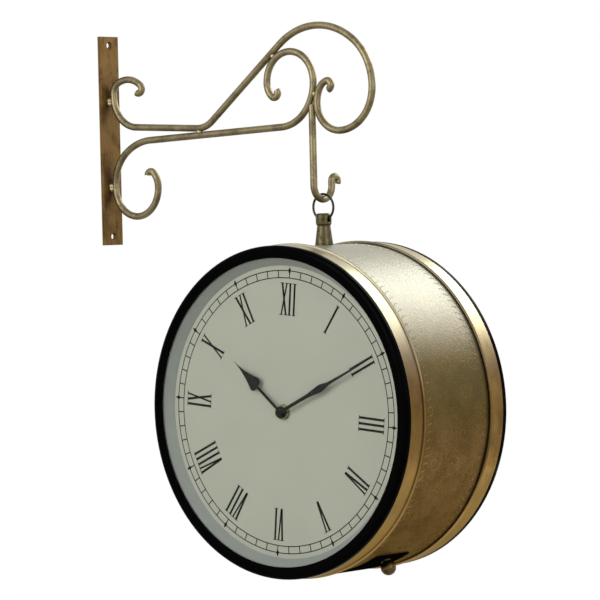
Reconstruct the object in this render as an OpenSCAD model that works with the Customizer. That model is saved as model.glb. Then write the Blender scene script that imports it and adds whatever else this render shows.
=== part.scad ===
// Double-sided station clock that hangs from a scrolled wall bracket.
//
// Frame: millimetres, +Z up, +X out from the wall, and the front dial faces -Y.
// The origin lies on the wall, midway between the two screw holes of the wall strip.
// The drum's own pieces are drawn about the drum's axis, midway between its two dials,
// and each dial's pieces are drawn with their own z pointing out through the glass.

/* [Wall strip] */
// Length of the flat bar on the wall
strip_len = 181; // [175:1:220]
// Width of the flat bar
strip_w = 22; // [18:1:30]
// Thickness of the flat bar
strip_t = 3.5; // [2:0.5:5]
// Distance of each screw hole from its end of the bar
screw_from_end = 7.5; // [5.5:0.5:20]
// Radius of each screw hole
screw_hole_r = 2.6; // [2:0.1:4]
// Radius of each shallow countersink at the face of the bar
screw_sink_r = 3.3; // [3:0.1:6]

/* [Scrolls] */
// Radius of the round rod of which the scrolls and the hook are bent
rod_r = 3; // [2.4:0.1:4]
// Height of the lower scroll's lowest touch on the strip, below the middle of the strip
low_root_drop = 38; // [32:0.5:50]
// Gap between the strip and the rods, which the weld beads fill
root_gap = 0.8; // [0:0.1:1.2]
// Height of the weld bead on the strip at the upper scroll, above the strip's middle
high_weld_at = 34.5; // [32:0.5:40]
// Height of the weld bead on the strip at the lower scroll, below the strip's middle
low_weld_at = 39.5; // [36:0.5:42]
// Slope of each scroll's straight arm, one falling and one rising
arm_slope = 2.5; // [1:0.1:5]
// Radius of the upper scroll's bend away from the strip
up_root_r = 27; // [22:0.5:32]
// Length of the upper scroll's straight arm
arm_len = 71; // [62:0.5:90]
// Radius of the bend where the upper scroll starts to climb
fork_r = 25.5; // [20:0.5:36]
// Angle at which the upper scroll climbs
climb = 38.5; // [34:0.5:44]
// Radius of the upper scroll's great loop at its top
loop_r_1 = 64.5; // [60:0.5:68]
// Radius of the great loop on its way down
loop_r_2 = 48.5; // [44:0.5:52]
// Radius of the great loop at its foot
loop_r_3 = 35.5; // [32:0.5:39]
// Radius of the great loop on its way up again
loop_r_4 = 23.5; // [20:0.5:26]
// Radius of the bend that touches the lower scroll's loop
loop_r_5 = 24; // [20:0.5:28]
// Radius of the upper scroll's last bend, before its rolled tip
loop_r_6 = 12.5; // [10:0.5:15]
// Straight rise of the upper scroll's tail along the strip
up_tail_rise = 3.5; // [1:0.5:8]
// Radius of the upper scroll's tail, next to the strip
up_tail_r_1 = 9; // [7:0.5:14]
// Radius of the upper scroll's tail, over its crest
up_tail_r_2 = 24; // [18:0.5:30]
// Radius of the lower scroll's bend away from the strip
low_root_r_1 = 34; // [28:0.5:40]
// Radius of the easier bend that leads into the lower scroll's arm
low_root_r_2 = 50; // [42:0.5:60]
// Radius of the lower scroll's upper loop, next to its arm
curl_r_1 = 37; // [33:0.5:40]
// Radius of the upper loop over its crest
curl_r_2 = 25.5; // [23:0.5:28]
// Radius of the upper loop where it touches the climb
curl_r_3 = 25; // [22:0.5:27]
// Radius of the upper loop on its inner side
curl_r_4 = 16.5; // [14:0.5:19]
// Radius of the upper loop's last bend, before its rolled tip
curl_r_5 = 11.5; // [9:0.5:14]
// Straight fall of the lower scroll's tail along the strip
low_tail_fall = 3; // [1:0.5:6]
// Radius of the lower scroll's tail, next to the strip
low_tail_r_1 = 25; // [22:0.5:32]
// Radius of the tail at its foot
low_tail_r_2 = 25; // [22:0.5:29]
// Radius of the tail's last bend, before its rolled tip
low_tail_r_3 = 17; // [13:0.5:21]
// Radius of the rolled tips
tip_r = 3.8; // [3.6:0.1:5.5]
// Radius of the weld beads on the strip
strip_weld_r = 3; // [2.4:0.1:3.6]
// Radius of the weld beads between the rods
rod_weld_r = 2.6; // [2.2:0.1:3.4]

/* [Hook and ring] */
// Height of the hook's lowest point, below the middle of the strip
hook_low = 55; // [46:0.5:66]
// Radius of the hook's bend
hook_r = 11.5; // [9:0.5:15]
// Length of the hook's short arm between its bend and its rolled tip
hook_lip = 3.5; // [2:0.5:12]
// Radius of the ring at the middle of its wire
ring_r = 10.8; // [9.5:0.1:13]
// Radius of the ring's wire
ring_wire_r = 1; // [0.8:0.05:1.4]

/* [Hanger] */
// Radius of the hanger's foot
hanger_foot_r = 7.5; // [6.5:0.1:10]
// Radius of the hanger's waist, under its head
hanger_waist_r = 5.6; // [4:0.1:6]
// Height of the hanger's tapered body
hanger_body_h = 16; // [12:0.5:24]
// Radius of the hanger's head
hanger_head_r = 6.65; // [6.2:0.05:7.6]
// Height of the hanger's head
hanger_head_h = 10.4; // [9.4:0.1:14]
// Radius of the threaded stud under the hanger
hanger_stud_r = 3; // [2:0.5:4]

/* [Drum] */
// Radius of the drum's sheet
shell_r = 135.5; // [125:0.5:150]
// Thickness of the drum's sheet
shell_t = 0.8; // [0.6:0.1:1.5]
// Half of the sheet's length
shell_half = 60; // [56:0.5:75]
// Width of each rim band
rim_w = 18.6; // [14:0.2:24]
// Thickness of each rim band
rim_t = 1; // [0.8:0.1:1.6]
// Radius of the bead rolled along each rim band's edge
rim_bead_r = 1.25; // [1:0.05:2]

/* [Bezel and dial] */
// How far each black bezel stands out past the drum's sheet
bezel_out = 1.3; // [-1.7:0.1:1.8]
// Width of each bezel's face, from its edge to its opening
bezel_w = 10.3; // [9.3:0.1:12.8]
// Height of the bezel above its rim band
bezel_h = 5.6; // [5:0.1:8]
// Thickness of the bezel's lip over the glass
bezel_lip_t = 0.8; // [0.6:0.1:1.2]
// Thickness of each glass
glass_t = 1.6; // [1.2:0.1:2]
// Height of the sloped ring between dial and glass
dial_ring_h = 7.2; // [7:0.1:10]
// Width of the sloped ring's slope
dial_ring_slope = 6.1; // [4:0.1:8]
// Wall thickness of the sloped ring
dial_ring_wall = 1.5; // [1:0.1:2]
// Thickness of each dial
dial_t = 1.2; // [0.8:0.1:2]
// Thickness of the ring that clamps each dial
clamp_t = 1.3; // [1:0.1:2]
// Width of that ring
clamp_w = 22.5; // [18:0.5:26]
// Number of screws that hold each clamp ring, rim and bezel together
clamp_screws = 6; // [3:1:12]
// Radius of those screws
clamp_screw_r = 1.45; // [1:0.05:1.6]
// How far the front dial and its hands sit clockwise of upright, as a hung clock's may
dial_turn = 5; // [-6:0.5:6]

/* [Movement] */
// Width of each quartz movement
case_w = 56; // [54:0.5:60]
// Depth of each movement's case
case_d = 17; // [16.5:0.5:20]
// Wall thickness of the case
case_wall = 1.5; // [1.2:0.1:2]
// Radius of the battery
battery_r = 7.1; // [7:0.05:7.2]
// Length of the battery, without its button
battery_len = 49; // [48:0.5:50]
// Module of the gears
gear_module = 0.4; // [0.35:0.01:0.42]
// Teeth of the minute arbor's pinion
cannon_teeth = 15;
// Teeth of the minute wheel
minute_wheel_teeth = 45;
// Teeth of the minute wheel's pinion
minute_pinion_teeth = 12;
// Teeth of the hour wheel
hour_wheel_teeth = 48;
// Radius of the minute arbor
arbor_r = 1.5; // [1.2:0.05:1.6]
// Wall thickness of the hour wheel's pipe
pipe_wall = 0.95; // [0.7:0.05:1.1]
// Wall thickness of the threaded bush
bush_wall = 1.4; // [1:0.1:2]
// Radius of the brass nut on the dial
dial_nut_r = 6; // [5:0.1:8]

/* [Hands] */
// Length of the hour hand, from the arbor
hour_len = 64; // [50:1:75]
// Distance from the arbor to the widest part of the hour hand's spade
hour_spade_at = 35.5; // [28:0.5:40]
// Width of the spade
hour_spade_w = 12.4; // [9:0.2:16]
// Length of the minute hand, from the arbor
minute_len = 102; // [90:1:112]
// Distance from the arbor to the widest part of the minute hand
minute_kite_at = 49; // [45:1:62]
// Width of the minute hand there
minute_kite_w = 6.4; // [5:0.2:9]
// Thickness of the hands
hand_t = 0.5; // [0.4:0.05:0.7]
// Hour shown on the front dial
front_hour = 10; // [0:1:11]
// Minute shown on the front dial
front_minute = 10; // [0:1:59]
// Hour shown on the rear dial
rear_hour = 10; // [0:1:11]
// Minute shown on the rear dial
rear_minute = 10; // [0:1:59]

/* [Battery door] */
// Angle of the hinge, from the drum's lowest line towards the wall
door_hinge_at = 23; // [18:0.5:28]
// Angle of the door's free edge, from the drum's lowest line away from the wall
door_edge_at = 29; // [28:0.5:34]
// Half of the door's width along the drum
door_half_w = 21; // [18:0.5:28]
// Thickness of the door's sheet
door_t = 1; // [0.8:0.1:1.4]
// How far the door overlaps the sheet round its opening
door_lap = 3; // [2:0.2:5]
// Radius of the hinge's knuckles
knuckle_r = 1.8; // [1.6:0.05:2.4]
// Radius of the hinge's pin
pin_r = 0.9; // [0.7:0.05:1.1]
// Half of the middle knuckle's length
knuckle_half = 7; // [5:0.5:9]
// Angle of the knob on the door
knob_at = 25; // [22:0.5:25.5]
// Radius of the knob's ball
knob_r = 6.4; // [4.5:0.1:8]
// Radius of the knob's neck
knob_neck_r = 3.2; // [2.5:0.1:4]
// Height of the knob's neck
knob_neck_h = 1; // [0.8:0.1:5]

/* [Fits] */
// Gap between pieces that move past each other
run_gap = 0.3; // [0.2:0.05:0.5]
// Gap between a fixed piece and the one that it fits inside
seat_gap = 0.1; // [0.05:0.01:0.2]
// Radial clearance of a pivot in its bearing
pivot_gap = 0.06; // [0.03:0.01:0.1]

/* [Hidden] */
$fn = 96;

FRONT = 0;
REAR = 180;

BRASS = "#a07c45";
AGED_BRASS = "#7d6b45";
GLOSS_BLACK = "#0a0a0a";
CREAM = "#c9cabb";
MOULDED_GREY = "#a2a6a3";
STEEL = "#b9bcc0";
MATT_BLACK = "#222222";

screw_spacing = strip_len - 2 * screw_from_end;
rod_d = 2 * rod_r;
rod_fn = 32;
turned_fn = 64;
fine_fn = 32;

// Bent rods: a pose is [x, z, heading], and a path is a list of bends and straights.
// A bend is [radius, angle], a left turn when the angle is positive. A straight is [0, length].
function turn_side(seg) = seg[1] < 0 ? -1 : 1;
function bend_centre(pose, seg) =
    [pose[0] - turn_side(seg) * seg[0] * sin(pose[2]), pose[1] + turn_side(seg) * seg[0] * cos(pose[2])];
function after_bend(pose, seg) =
    let (c = bend_centre(pose, seg), heading = pose[2] + seg[1], s = turn_side(seg))
    [c[0] + s * seg[0] * sin(heading), c[1] - s * seg[0] * cos(heading), heading];
function after_straight(pose, seg) =
    [pose[0] + seg[1] * cos(pose[2]), pose[1] + seg[1] * sin(pose[2]), pose[2]];
function after(pose, seg) = seg[0] == 0 ? after_straight(pose, seg) : after_bend(pose, seg);
function walk(pose, path, count) = count == 0 ? pose : after(walk(pose, path, count - 1), path[count - 1]);
function spot(pose) = [pose[0], pose[1]];

// Every other piece is a hair slimmer and runs a little way into the two beside it
rod_slim = 0.05;
rod_lap = 0.25;

module rod_piece(pose, seg, slim) {
    radius = rod_r - slim * rod_slim;
    lap = slim * rod_lap;
    if (seg[0] == 0) {
        translate([pose[0], pose[1], 0]) rotate([0, 0, pose[2]]) translate([-lap, 0, 0]) rotate([0, 90, 0])
            cylinder(r = radius, h = seg[1] + 2 * lap, $fn = rod_fn);
    } else {
        c = bend_centre(pose, seg);
        lap_turn = lap / seg[0] * 180 / PI;
        first = seg[1] > 0 ? pose[2] - 90 : pose[2] + 90 + seg[1];
        translate([c[0], c[1], 0]) rotate([0, 0, first - lap_turn])
            rotate_extrude(angle = abs(seg[1]) + 2 * lap_turn)
                translate([seg[0], 0]) circle(r = radius, $fn = rod_fn);
    }
}

// The first slim piece is number 0 or 1 of the path
module bent_rod(pose, path, first_slim) {
    for (i = [0 : len(path) - 1])
        rod_piece(walk(pose, path, i), path[i], (i + 1 + first_slim) % 2);
}

// A drawing in x and y, stood up in the bracket's own plane
module in_bracket_plane() { rotate([90, 0, 0]) children(); }

// Lower scroll: its root, its straight arm and its loop, from the weld on the strip
root_x = strip_t + root_gap + rod_r;
low_root_angle = 52;
low_start = [root_x, -low_root_drop, 90];
low_root = [[low_root_r_1, -low_root_angle], [low_root_r_2, arm_slope + low_root_angle - 90]];
low_arm_start = walk(low_start, low_root, 2);

// Upper scroll: the height of its root is the one at which its arm touches the lower scroll's arm
up_to_fork = [[up_root_r, 90 - arm_slope], [0, arm_len], [fork_r, 2 * arm_slope]];
fork_touch_level = walk([root_x, 0, -90], up_to_fork, 3);
arm_normal = [-sin(arm_slope), cos(arm_slope)];
up_root_z = (rod_d - (spot(fork_touch_level) - spot(low_arm_start)) * arm_normal) / arm_normal[1];
up_start = [root_x, up_root_z, -90];
up_fork = [[up_root_r, 90 - arm_slope], [0, arm_len], [fork_r, arm_slope + climb]];
climb_start = walk(up_start, up_fork, 3);

// Lower scroll's arm is as long as it takes for its loop to touch the climb from below
curl_bends = [[curl_r_1, 90 - arm_slope], [curl_r_2, 90], [curl_r_3, 90]];
climb_normal = [sin(climb), -cos(climb)];
short_curl_centre = bend_centre(walk(low_arm_start, curl_bends, 2), curl_bends[2]);
low_arm_len = (curl_r_3 + rod_d - (short_curl_centre - spot(climb_start)) * climb_normal) / sin(climb - arm_slope);
low_curl_end = [[curl_r_4, 32], [curl_r_5, 22], [tip_r, 160]];
low_path = concat(low_root, [[0, low_arm_len]], curl_bends, low_curl_end);
curl_pose = walk(low_start, low_path, 3);
curl_centre = bend_centre(curl_pose, curl_bends[0]);

// Upper scroll's climb is as long as it takes for its last bend to touch the lower scroll's loop
loop_bends = [[loop_r_1, -climb - 38], [loop_r_2, -52], [loop_r_3, -90], [loop_r_4, -90], [loop_r_5, -30]];
last_bend_centre = bend_centre(walk(climb_start, loop_bends, 4), loop_bends[4]);
climb_dir = [cos(climb), sin(climb)];
touch_reach = curl_r_1 + loop_r_5 + rod_d;
start_gap = last_bend_centre - curl_centre;
along = start_gap * climb_dir;
climb_len = sqrt(touch_reach * touch_reach - start_gap * start_gap + along * along) - along;
up_path = concat(up_fork, [[0, climb_len]], loop_bends, [[loop_r_6, -43], [tip_r, -175]]);
up_tail = [[0, up_tail_rise], [up_tail_r_1, -60], [up_tail_r_2, -70], [tip_r, -168]];
low_tail = [[0, low_tail_fall], [low_tail_r_1, 90], [low_tail_r_2, 90], [low_tail_r_3, 48], [tip_r, 120]];

// Hook: its top is cut to fit the notch that the two loops leave below the point where they touch
notch_left_r = curl_r_1 + rod_r;
notch_right_r = loop_r_4 + rod_r;
notch_right = bend_centre(walk(up_start, up_path, 7), loop_bends[3]);
function notch_x_left(z) = curl_centre[0] + sqrt(pow(notch_left_r, 2) - pow(z - curl_centre[1], 2));
function notch_x_right(z) = notch_right[0] - sqrt(pow(notch_right_r, 2) - pow(z - notch_right[1], 2));
function notch_z(low, high, count) = let (mid = (low + high) / 2)
    count == 0 ? mid : notch_x_right(mid) - notch_x_left(mid) > rod_d
        ? notch_z(mid, high, count - 1) : notch_z(low, mid, count - 1);
hook_top = notch_z(curl_centre[1] - 0.9 * notch_left_r, notch_right[1], 20);
hook_x = (notch_x_left(hook_top) + notch_x_right(hook_top)) / 2;
hook_cut_from = notch_right[1] - 2;
hook_straight = hook_cut_from + hook_low - hook_r;
hook_path = [[0, hook_straight], [hook_r, 180], [0, hook_lip], [tip_r, -200]];

// Weld beads: a lumpy one at each root on the strip, and a small one where the rods touch each other
strip_weld_x = max(strip_t + 0.6, strip_weld_r + 0.3);
fork_touch = spot(walk(up_start, up_to_fork, 3)) - arm_normal * rod_r;
curl_touch = bend_centre(walk(low_start, low_path, 5), curl_bends[2]) - climb_normal * (curl_r_3 + rod_r);
last_centre = bend_centre(walk(up_start, up_path, 8), loop_bends[4]);
loop_touch = curl_centre + (last_centre - curl_centre) * (curl_r_1 + rod_r) / touch_reach;
hook_touch = [hook_x, hook_top + rod_r];
rod_welds = [fork_touch, curl_touch, loop_touch, hook_touch];

// Ring, hanger and drum hang in line below the hook's bend
drum_y = hook_r;
ring_z = -hook_low + rod_r + run_gap + ring_wire_r - ring_r;
eye_sink_x = hanger_head_r - 1.2;
wire_rise = ring_r - sqrt(ring_r * ring_r - eye_sink_x * eye_sink_x);
eye_r = (wire_rise + 2 * ring_wire_r + 3 * run_gap) / 2;
eye_z = ring_z - ring_r + wire_rise + ring_wire_r + run_gap - eye_r;
eye_sink_r = eye_r + 1.3;
eye_over_foot = hanger_body_h + hanger_head_h / 2;
drum_z = eye_z - eye_over_foot - shell_r;

// Drum: heights are taken from its middle, out along its axis
shell_in_r = shell_r - shell_t;
seat_r = shell_in_r - seat_gap;
rim_in_r = shell_r + seat_gap / 2;
rim_r = rim_in_r + rim_t;
rim_face = shell_half + rim_t;
rim_bead_at = rim_in_r + rim_bead_r;
bezel_r = shell_r + bezel_out;
bezel_open_r = bezel_r - bezel_w;
glass_front = rim_face + bezel_h - 0.5 - bezel_lip_t;
glass_back = glass_front - glass_t;
glass_r = bezel_open_r + 2.1;
bezel_in_r = glass_r + 3 * seat_gap;
dial_front = glass_back - dial_ring_h;
dial_back = dial_front - dial_t;
dial_ring_r = glass_r - 4 * seat_gap;
dial_ring_top_r = bezel_open_r - 0.2;
dial_ring_foot_r = dial_ring_top_r - dial_ring_slope;
rim_open_r = dial_ring_r + 2 * seat_gap;
clamp_back = dial_back - clamp_t;
clamp_r = shell_in_r - 2 * seat_gap;
clamp_open_r = clamp_r - clamp_w;
clamp_boss_r = 2.4;
clamp_boss_at = (dial_ring_r + shell_in_r) / 2;
clamp_hole_r = clamp_screw_r + seat_gap / 2;
clamp_screw_end = glass_front - 0.9;

// Movement: heights are taken from the drum's middle too
case_front = dial_back;
case_back = case_front - case_d;
cover_t = case_wall;
cover_back = case_back - cover_t;
bay_y = -(case_w / 2 - case_wall - battery_r - seat_gap);
bay_half = battery_r + 1.5 * seat_gap;
bay_top = bay_y + bay_half;
gear_room_low = bay_top + 1.2;
battery_z = case_back + 0.5 + battery_r;
bay_floor = battery_z + battery_r + 2 * seat_gap;
gear_room_floor = case_front - case_wall;
pipe_in_r = arbor_r + pivot_gap;
pipe_r = pipe_in_r + pipe_wall;
bush_in_r = pipe_r + pivot_gap;
bush_r = bush_in_r + bush_wall;
bush_end = case_front + dial_t + 3.1;
washer_t = 0.5;
nut_t = 2;
centre_distance = gear_module * (cannon_teeth + minute_wheel_teeth) / 2;
wheel_dir = 50;
wheel_at = centre_distance * [cos(wheel_dir), sin(wheel_dir)];
wheel_t = 2;
hour_wheel_top = gear_room_floor - 0.6;
hour_wheel_low = hour_wheel_top - wheel_t;
minute_wheel_low = case_back + 5.8;
minute_wheel_top = minute_wheel_low + wheel_t;
wheel_pin_r = 0.8;
knob_room = 0.4;
hour_hand_low = bush_end + 0.8;
hour_hand_top = hour_hand_low + hand_t;
pipe_end = hour_hand_top + 0.1;
minute_hand_low = hour_hand_top + 0.9;
minute_hand_top = minute_hand_low + hand_t;
cap_h = 1.1;
hub_r = 5;

// Gear teeth are involute, thinned a little for backlash
pressure_angle = 20;
function involute(angle) = tan(angle) * 180 / PI - angle;
function angle_at(base, radius) = radius <= base ? 0 : acos(base / radius);
function tooth_half(teeth, radius) =
    let (pitch = gear_module * teeth / 2, base = pitch * cos(pressure_angle))
    90 / teeth * 0.86 + involute(pressure_angle) - involute(angle_at(base, radius));
function polar(radius, angle) = [radius * cos(angle), radius * sin(angle)];
function gear_outline(teeth) =
    let (pitch = gear_module * teeth / 2, root = pitch - 1.15 * gear_module, tip = pitch + 0.85 * gear_module,
        base = pitch * cos(pressure_angle), low = max(root, base), mid = (low + tip) / 2, step = 360 / teeth)
    [for (i = [0 : teeth - 1]) for (p = [
        [root, -tooth_half(teeth, low)], [mid, -tooth_half(teeth, mid)], [tip, -tooth_half(teeth, tip)],
        [tip, tooth_half(teeth, tip)], [mid, tooth_half(teeth, mid)], [root, tooth_half(teeth, low)]])
        polar(p[0], i * step + p[1])];

module gear(teeth, thickness, turn) {
    rotate([0, 0, turn]) linear_extrude(thickness) polygon(gear_outline(teeth));
}

// A gear that has a tooth at angle a meets one that has a gap there
function gap_facing(teeth, angle) = angle + 180 / teeth;

// Placing
module at_drum() { translate([hook_x, drum_y, drum_z]) children(); }
module on_side(side) { at_drum() rotate([90, 0, side]) children(); }
module radial(angle) { rotate([0, 180 - angle, 0]) children(); }

// A piece of tube about the drum's axis: angles run from the lowest line, away from the wall
module drum_sector(r_in, r_out, from, to, half_w) {
    rotate([90, 0, 0]) rotate([0, 0, from - 90])
        rotate_extrude(angle = to - from, $fn = 180)
            translate([r_in, -half_w]) square([r_out - r_in, 2 * half_w]);
}

module tube(r_out, r_in, low, high) {
    translate([0, 0, low]) difference() {
        cylinder(r = r_out, h = high - low);
        translate([0, 0, -1]) cylinder(r = r_in, h = high - low + 2);
    }
}

module disc(radius, low, high) {
    translate([0, 0, low]) cylinder(r = radius, h = high - low);
}

module rounded_plate(w, h, corner, low, high) {
    translate([0, 0, low]) linear_extrude(high - low) union() {
        square([w - 2 * corner, h], center = true);
        square([w, h - 2 * corner], center = true);
        for (x = [-1, 1], y = [-1, 1])
            translate([x * (w / 2 - corner), y * (h / 2 - corner)]) circle(r = corner, $fn = fine_fn);
    }
}

module ring_of_screws() {
    for (i = [0 : clamp_screws - 1]) rotate([0, 0, (i + 0.5) * 360 / clamp_screws])
        translate([clamp_boss_at, 0, 0]) children();
}

// Bracket
module wall_strip() {
    color(AGED_BRASS) difference() {
        translate([0, -strip_w / 2, -strip_len / 2]) cube([strip_t, strip_w, strip_len]);
        for (side = [-1, 1]) translate([0, 0, side * screw_spacing / 2]) rotate([0, 90, 0]) {
            translate([0, 0, -1]) cylinder(r = screw_hole_r, h = strip_t + 2, $fn = fine_fn);
            translate([0, 0, strip_t - 0.8]) cylinder(r1 = screw_hole_r, r2 = screw_sink_r + 0.2, h = 1, $fn = fine_fn);
        }
    }
}

module upper_scroll() {
    color(AGED_BRASS) in_bracket_plane() {
        bent_rod(up_start, up_path, 1);
        bent_rod([root_x, up_root_z, 90], up_tail, 0);
    }
}

module lower_scroll() {
    color(AGED_BRASS) in_bracket_plane() {
        bent_rod(low_start, low_path, 1);
        bent_rod([root_x, -low_root_drop, -90], low_tail, 0);
    }
}

module hook_rod() {
    color(AGED_BRASS) difference() {
        translate([hook_x, 0, 0]) rotate([90, 0, 90]) bent_rod([0, hook_cut_from, -90], hook_path, 1);
        translate([curl_centre[0], 0, curl_centre[1]]) rotate([90, 0, 0])
            cylinder(r = notch_left_r, h = 4 * rod_r, center = true, $fn = 180);
        translate([notch_right[0], 0, notch_right[1]]) rotate([90, 0, 0])
            cylinder(r = notch_right_r, h = 4 * rod_r, center = true, $fn = 180);
    }
}

module lumpy_bead() {
    sphere(r = strip_weld_r, $fn = fine_fn);
    translate([0.6, -0.4, -2.4]) sphere(r = 0.8 * strip_weld_r, $fn = fine_fn);
}

module weld_beads() {
    color(AGED_BRASS) {
        in_bracket_plane() for (p = rod_welds) translate([p[0], p[1], 0]) sphere(r = rod_weld_r, $fn = fine_fn);
        for (height = [high_weld_at, -low_weld_at]) translate([strip_weld_x, -2.2, height]) lumpy_bead();
    }
}

module hanging_ring() {
    color(MATT_BLACK) translate([hook_x, drum_y, ring_z]) rotate([90, 0, 0])
        rotate_extrude() translate([ring_r, 0]) circle(r = ring_wire_r, $fn = 20);
}

// Hanger
module hanger_spindle() {
    head_low = shell_r + hanger_body_h;
    head_mid = head_low + hanger_head_h / 2;
    head_top = head_low + hanger_head_h;
    color(AGED_BRASS) at_drum() difference() {
        rotate_extrude($fn = turned_fn) polygon([
            [0, shell_r - 12.6], [hanger_stud_r, shell_r - 12.6], [hanger_stud_r, shell_r - shell_t],
            [hanger_stud_r, shell_r - 0.5], [hanger_foot_r, shell_r - 0.5], [hanger_foot_r, shell_r + 0.8],
            [hanger_waist_r, head_low - 0.6], [hanger_waist_r, head_low], [hanger_head_r - 1, head_low],
            [hanger_head_r - 0.15, head_low + 1.5], [hanger_head_r, head_mid],
            [hanger_head_r - 0.15, head_top - 1.5], [hanger_head_r - 1, head_top - 0.4],
            [hanger_head_r - 2.6, head_top], [0, head_top]]);
        translate([0, 0, shell_r + eye_over_foot]) rotate([0, 90, 0]) {
            cylinder(r = eye_r, h = 3 * hanger_head_r, center = true, $fn = fine_fn);
            for (end = [0, 180]) rotate([end, 0, 0]) translate([0, 0, eye_sink_x])
                cylinder(r1 = eye_r, r2 = eye_sink_r, h = hanger_head_r - eye_sink_x + 0.1, $fn = fine_fn);
        }
        rotate([90, 0, 0]) difference() {
            cylinder(r = shell_r, h = 4 * hanger_foot_r, center = true, $fn = 180);
            translate([0, shell_r, 0]) rotate([90, 0, 0])
                cylinder(r = hanger_stud_r, h = 30, center = true, $fn = turned_fn);
        }
    }
}

hanger_plate_t = 2;
hanger_plate_half = 14;
hanger_plate_angle = 7;
module hanger_plate() {
    color(STEEL) at_drum() difference() {
        drum_sector(seat_r - hanger_plate_t, seat_r, 180 - hanger_plate_angle, 180 + hanger_plate_angle,
            hanger_plate_half);
        translate([0, 0, shell_in_r - 2 * hanger_plate_t])
            cylinder(r = hanger_stud_r + seat_gap, h = 4 * hanger_plate_t, $fn = fine_fn);
    }
}

module hanger_nut() {
    nut_top = seat_r - hanger_plate_t - seat_gap;
    color(STEEL) at_drum() translate([0, 0, nut_top - hanger_stud_r * 1.6]) difference() {
        cylinder(r = hanger_stud_r * 1.92, h = hanger_stud_r * 1.6, $fn = 6);
        translate([0, 0, -1]) cylinder(r = hanger_stud_r, h = hanger_stud_r * 2 + 2, $fn = fine_fn);
    }
}

// Drum sheet, with its battery opening below and its stud hole above
opening_from = -door_hinge_at + 3;
opening_to = door_edge_at - atan(door_lap / shell_r);
opening_half = door_half_w - door_lap;
rivet_r = 1.2;
rivet_head_r = 2.2;
rivet_head_h = 0.8;
leaf_t = 1.1;
leaf_from = -door_hinge_at - 8;
leaf_rivet_at = -door_hinge_at - 5;
catch_t = 0.8;
catch_rivet_at = door_edge_at + 5;
catch_half = 6.5;
leaf_rivet_y = knuckle_half - 3.3;
catch_rivet_y = catch_half - 3;

module at_door_rivets() {
    for (y = [-1, 1]) {
        radial(leaf_rivet_at) translate([0, y * leaf_rivet_y, 0]) children();
        radial(catch_rivet_at) translate([0, y * catch_rivet_y, 0]) children();
    }
}

module drum_shell() {
    color(BRASS) at_drum() difference() {
        rotate([90, 0, 0]) difference() {
            cylinder(r = shell_r, h = 2 * shell_half, center = true, $fn = 180);
            cylinder(r = shell_in_r, h = 2 * shell_half + 2, center = true, $fn = 180);
        }
        drum_sector(shell_in_r - 1, shell_r + 1, opening_from, opening_to, opening_half);
        translate([0, 0, shell_in_r - 5]) cylinder(r = hanger_stud_r + seat_gap, h = 10, $fn = fine_fn);
        at_door_rivets() translate([0, 0, shell_in_r - 5]) cylinder(r = rivet_r, h = 10, $fn = fine_fn);
    }
}

// Battery door, its hinge, its knob and its catch
door_in_r = shell_r + run_gap;
door_out_r = door_in_r + door_t;
hinge_axis_r = door_in_r + knuckle_r + 0.05;
hinge_lap = 0.25;
knuckle_inset = 0.2;
notch_to = -door_hinge_at + atan((knuckle_r + 2 * run_gap) / shell_r);
knob_nut_r = 2.6;
knob_nut_t = 2;
knob_stud_r = 1.45;

module on_hinge() {
    translate([-hinge_axis_r * sin(door_hinge_at), 0, -hinge_axis_r * cos(door_hinge_at)])
        rotate([90, 0, 0]) children();
}

module knuckle(from, to, bore) {
    on_hinge() translate([0, 0, -to]) difference() {
        cylinder(r = knuckle_r, h = to - from, $fn = fine_fn);
        translate([0, 0, -1]) cylinder(r = bore, h = to - from + 2, $fn = fine_fn);
    }
}

module access_door() {
    gap_y = knuckle_half + run_gap;
    color(BRASS) at_drum() union() {
        difference() {
            drum_sector(door_in_r, door_out_r, hinge_lap - door_hinge_at, door_edge_at, door_half_w);
            drum_sector(door_in_r - 1, door_out_r + 1, -door_hinge_at - 1, notch_to, gap_y);
            radial(knob_at) translate([0, 0, door_in_r - 5])
                cylinder(r = knob_stud_r + seat_gap / 2, h = 10, $fn = fine_fn);
        }
        knuckle(gap_y + knuckle_inset, door_half_w - knuckle_inset, pin_r + pivot_gap);
        knuckle(knuckle_inset - door_half_w, -gap_y - knuckle_inset, pin_r + pivot_gap);
    }
}

module hinge_leaf() {
    color(BRASS) at_drum() {
        difference() {
            drum_sector(shell_r, shell_r + leaf_t, leaf_from, -door_hinge_at - hinge_lap, knuckle_half - 0.5);
            at_door_rivets() translate([0, 0, shell_r - 5]) cylinder(r = rivet_r, h = 10, $fn = fine_fn);
        }
        knuckle(-knuckle_half, knuckle_half, pin_r);
    }
}

module hinge_pin() {
    head_t = 0.8;
    color(STEEL) at_drum() on_hinge() {
        cylinder(r = pin_r, h = 2 * door_half_w + 2 * run_gap, center = true, $fn = fine_fn);
        for (end = [0, 180]) rotate([end, 0, 0]) translate([0, 0, door_half_w + run_gap])
            cylinder(r1 = knuckle_r - 0.2, r2 = pin_r, h = head_t, $fn = fine_fn);
    }
}

module door_knob() {
    ball_at = knob_neck_h + sqrt(knob_r * knob_r - knob_neck_r * knob_neck_r);
    color(AGED_BRASS) at_drum() radial(knob_at) {
        translate([0, 0, door_in_r - knob_nut_t - 0.6])
            cylinder(r = knob_stud_r, h = knob_nut_t + door_t + 0.7, $fn = fine_fn);
        translate([0, 0, door_out_r]) rotate_extrude($fn = turned_fn) intersection() {
            translate([0, 0]) square([2 * knob_r, 4 * knob_r]);
            union() {
                square([knob_neck_r, ball_at]);
                square([knob_neck_r + 0.8, 0.7]);
                translate([0, ball_at]) circle(r = knob_r);
            }
        }
    }
}

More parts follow.
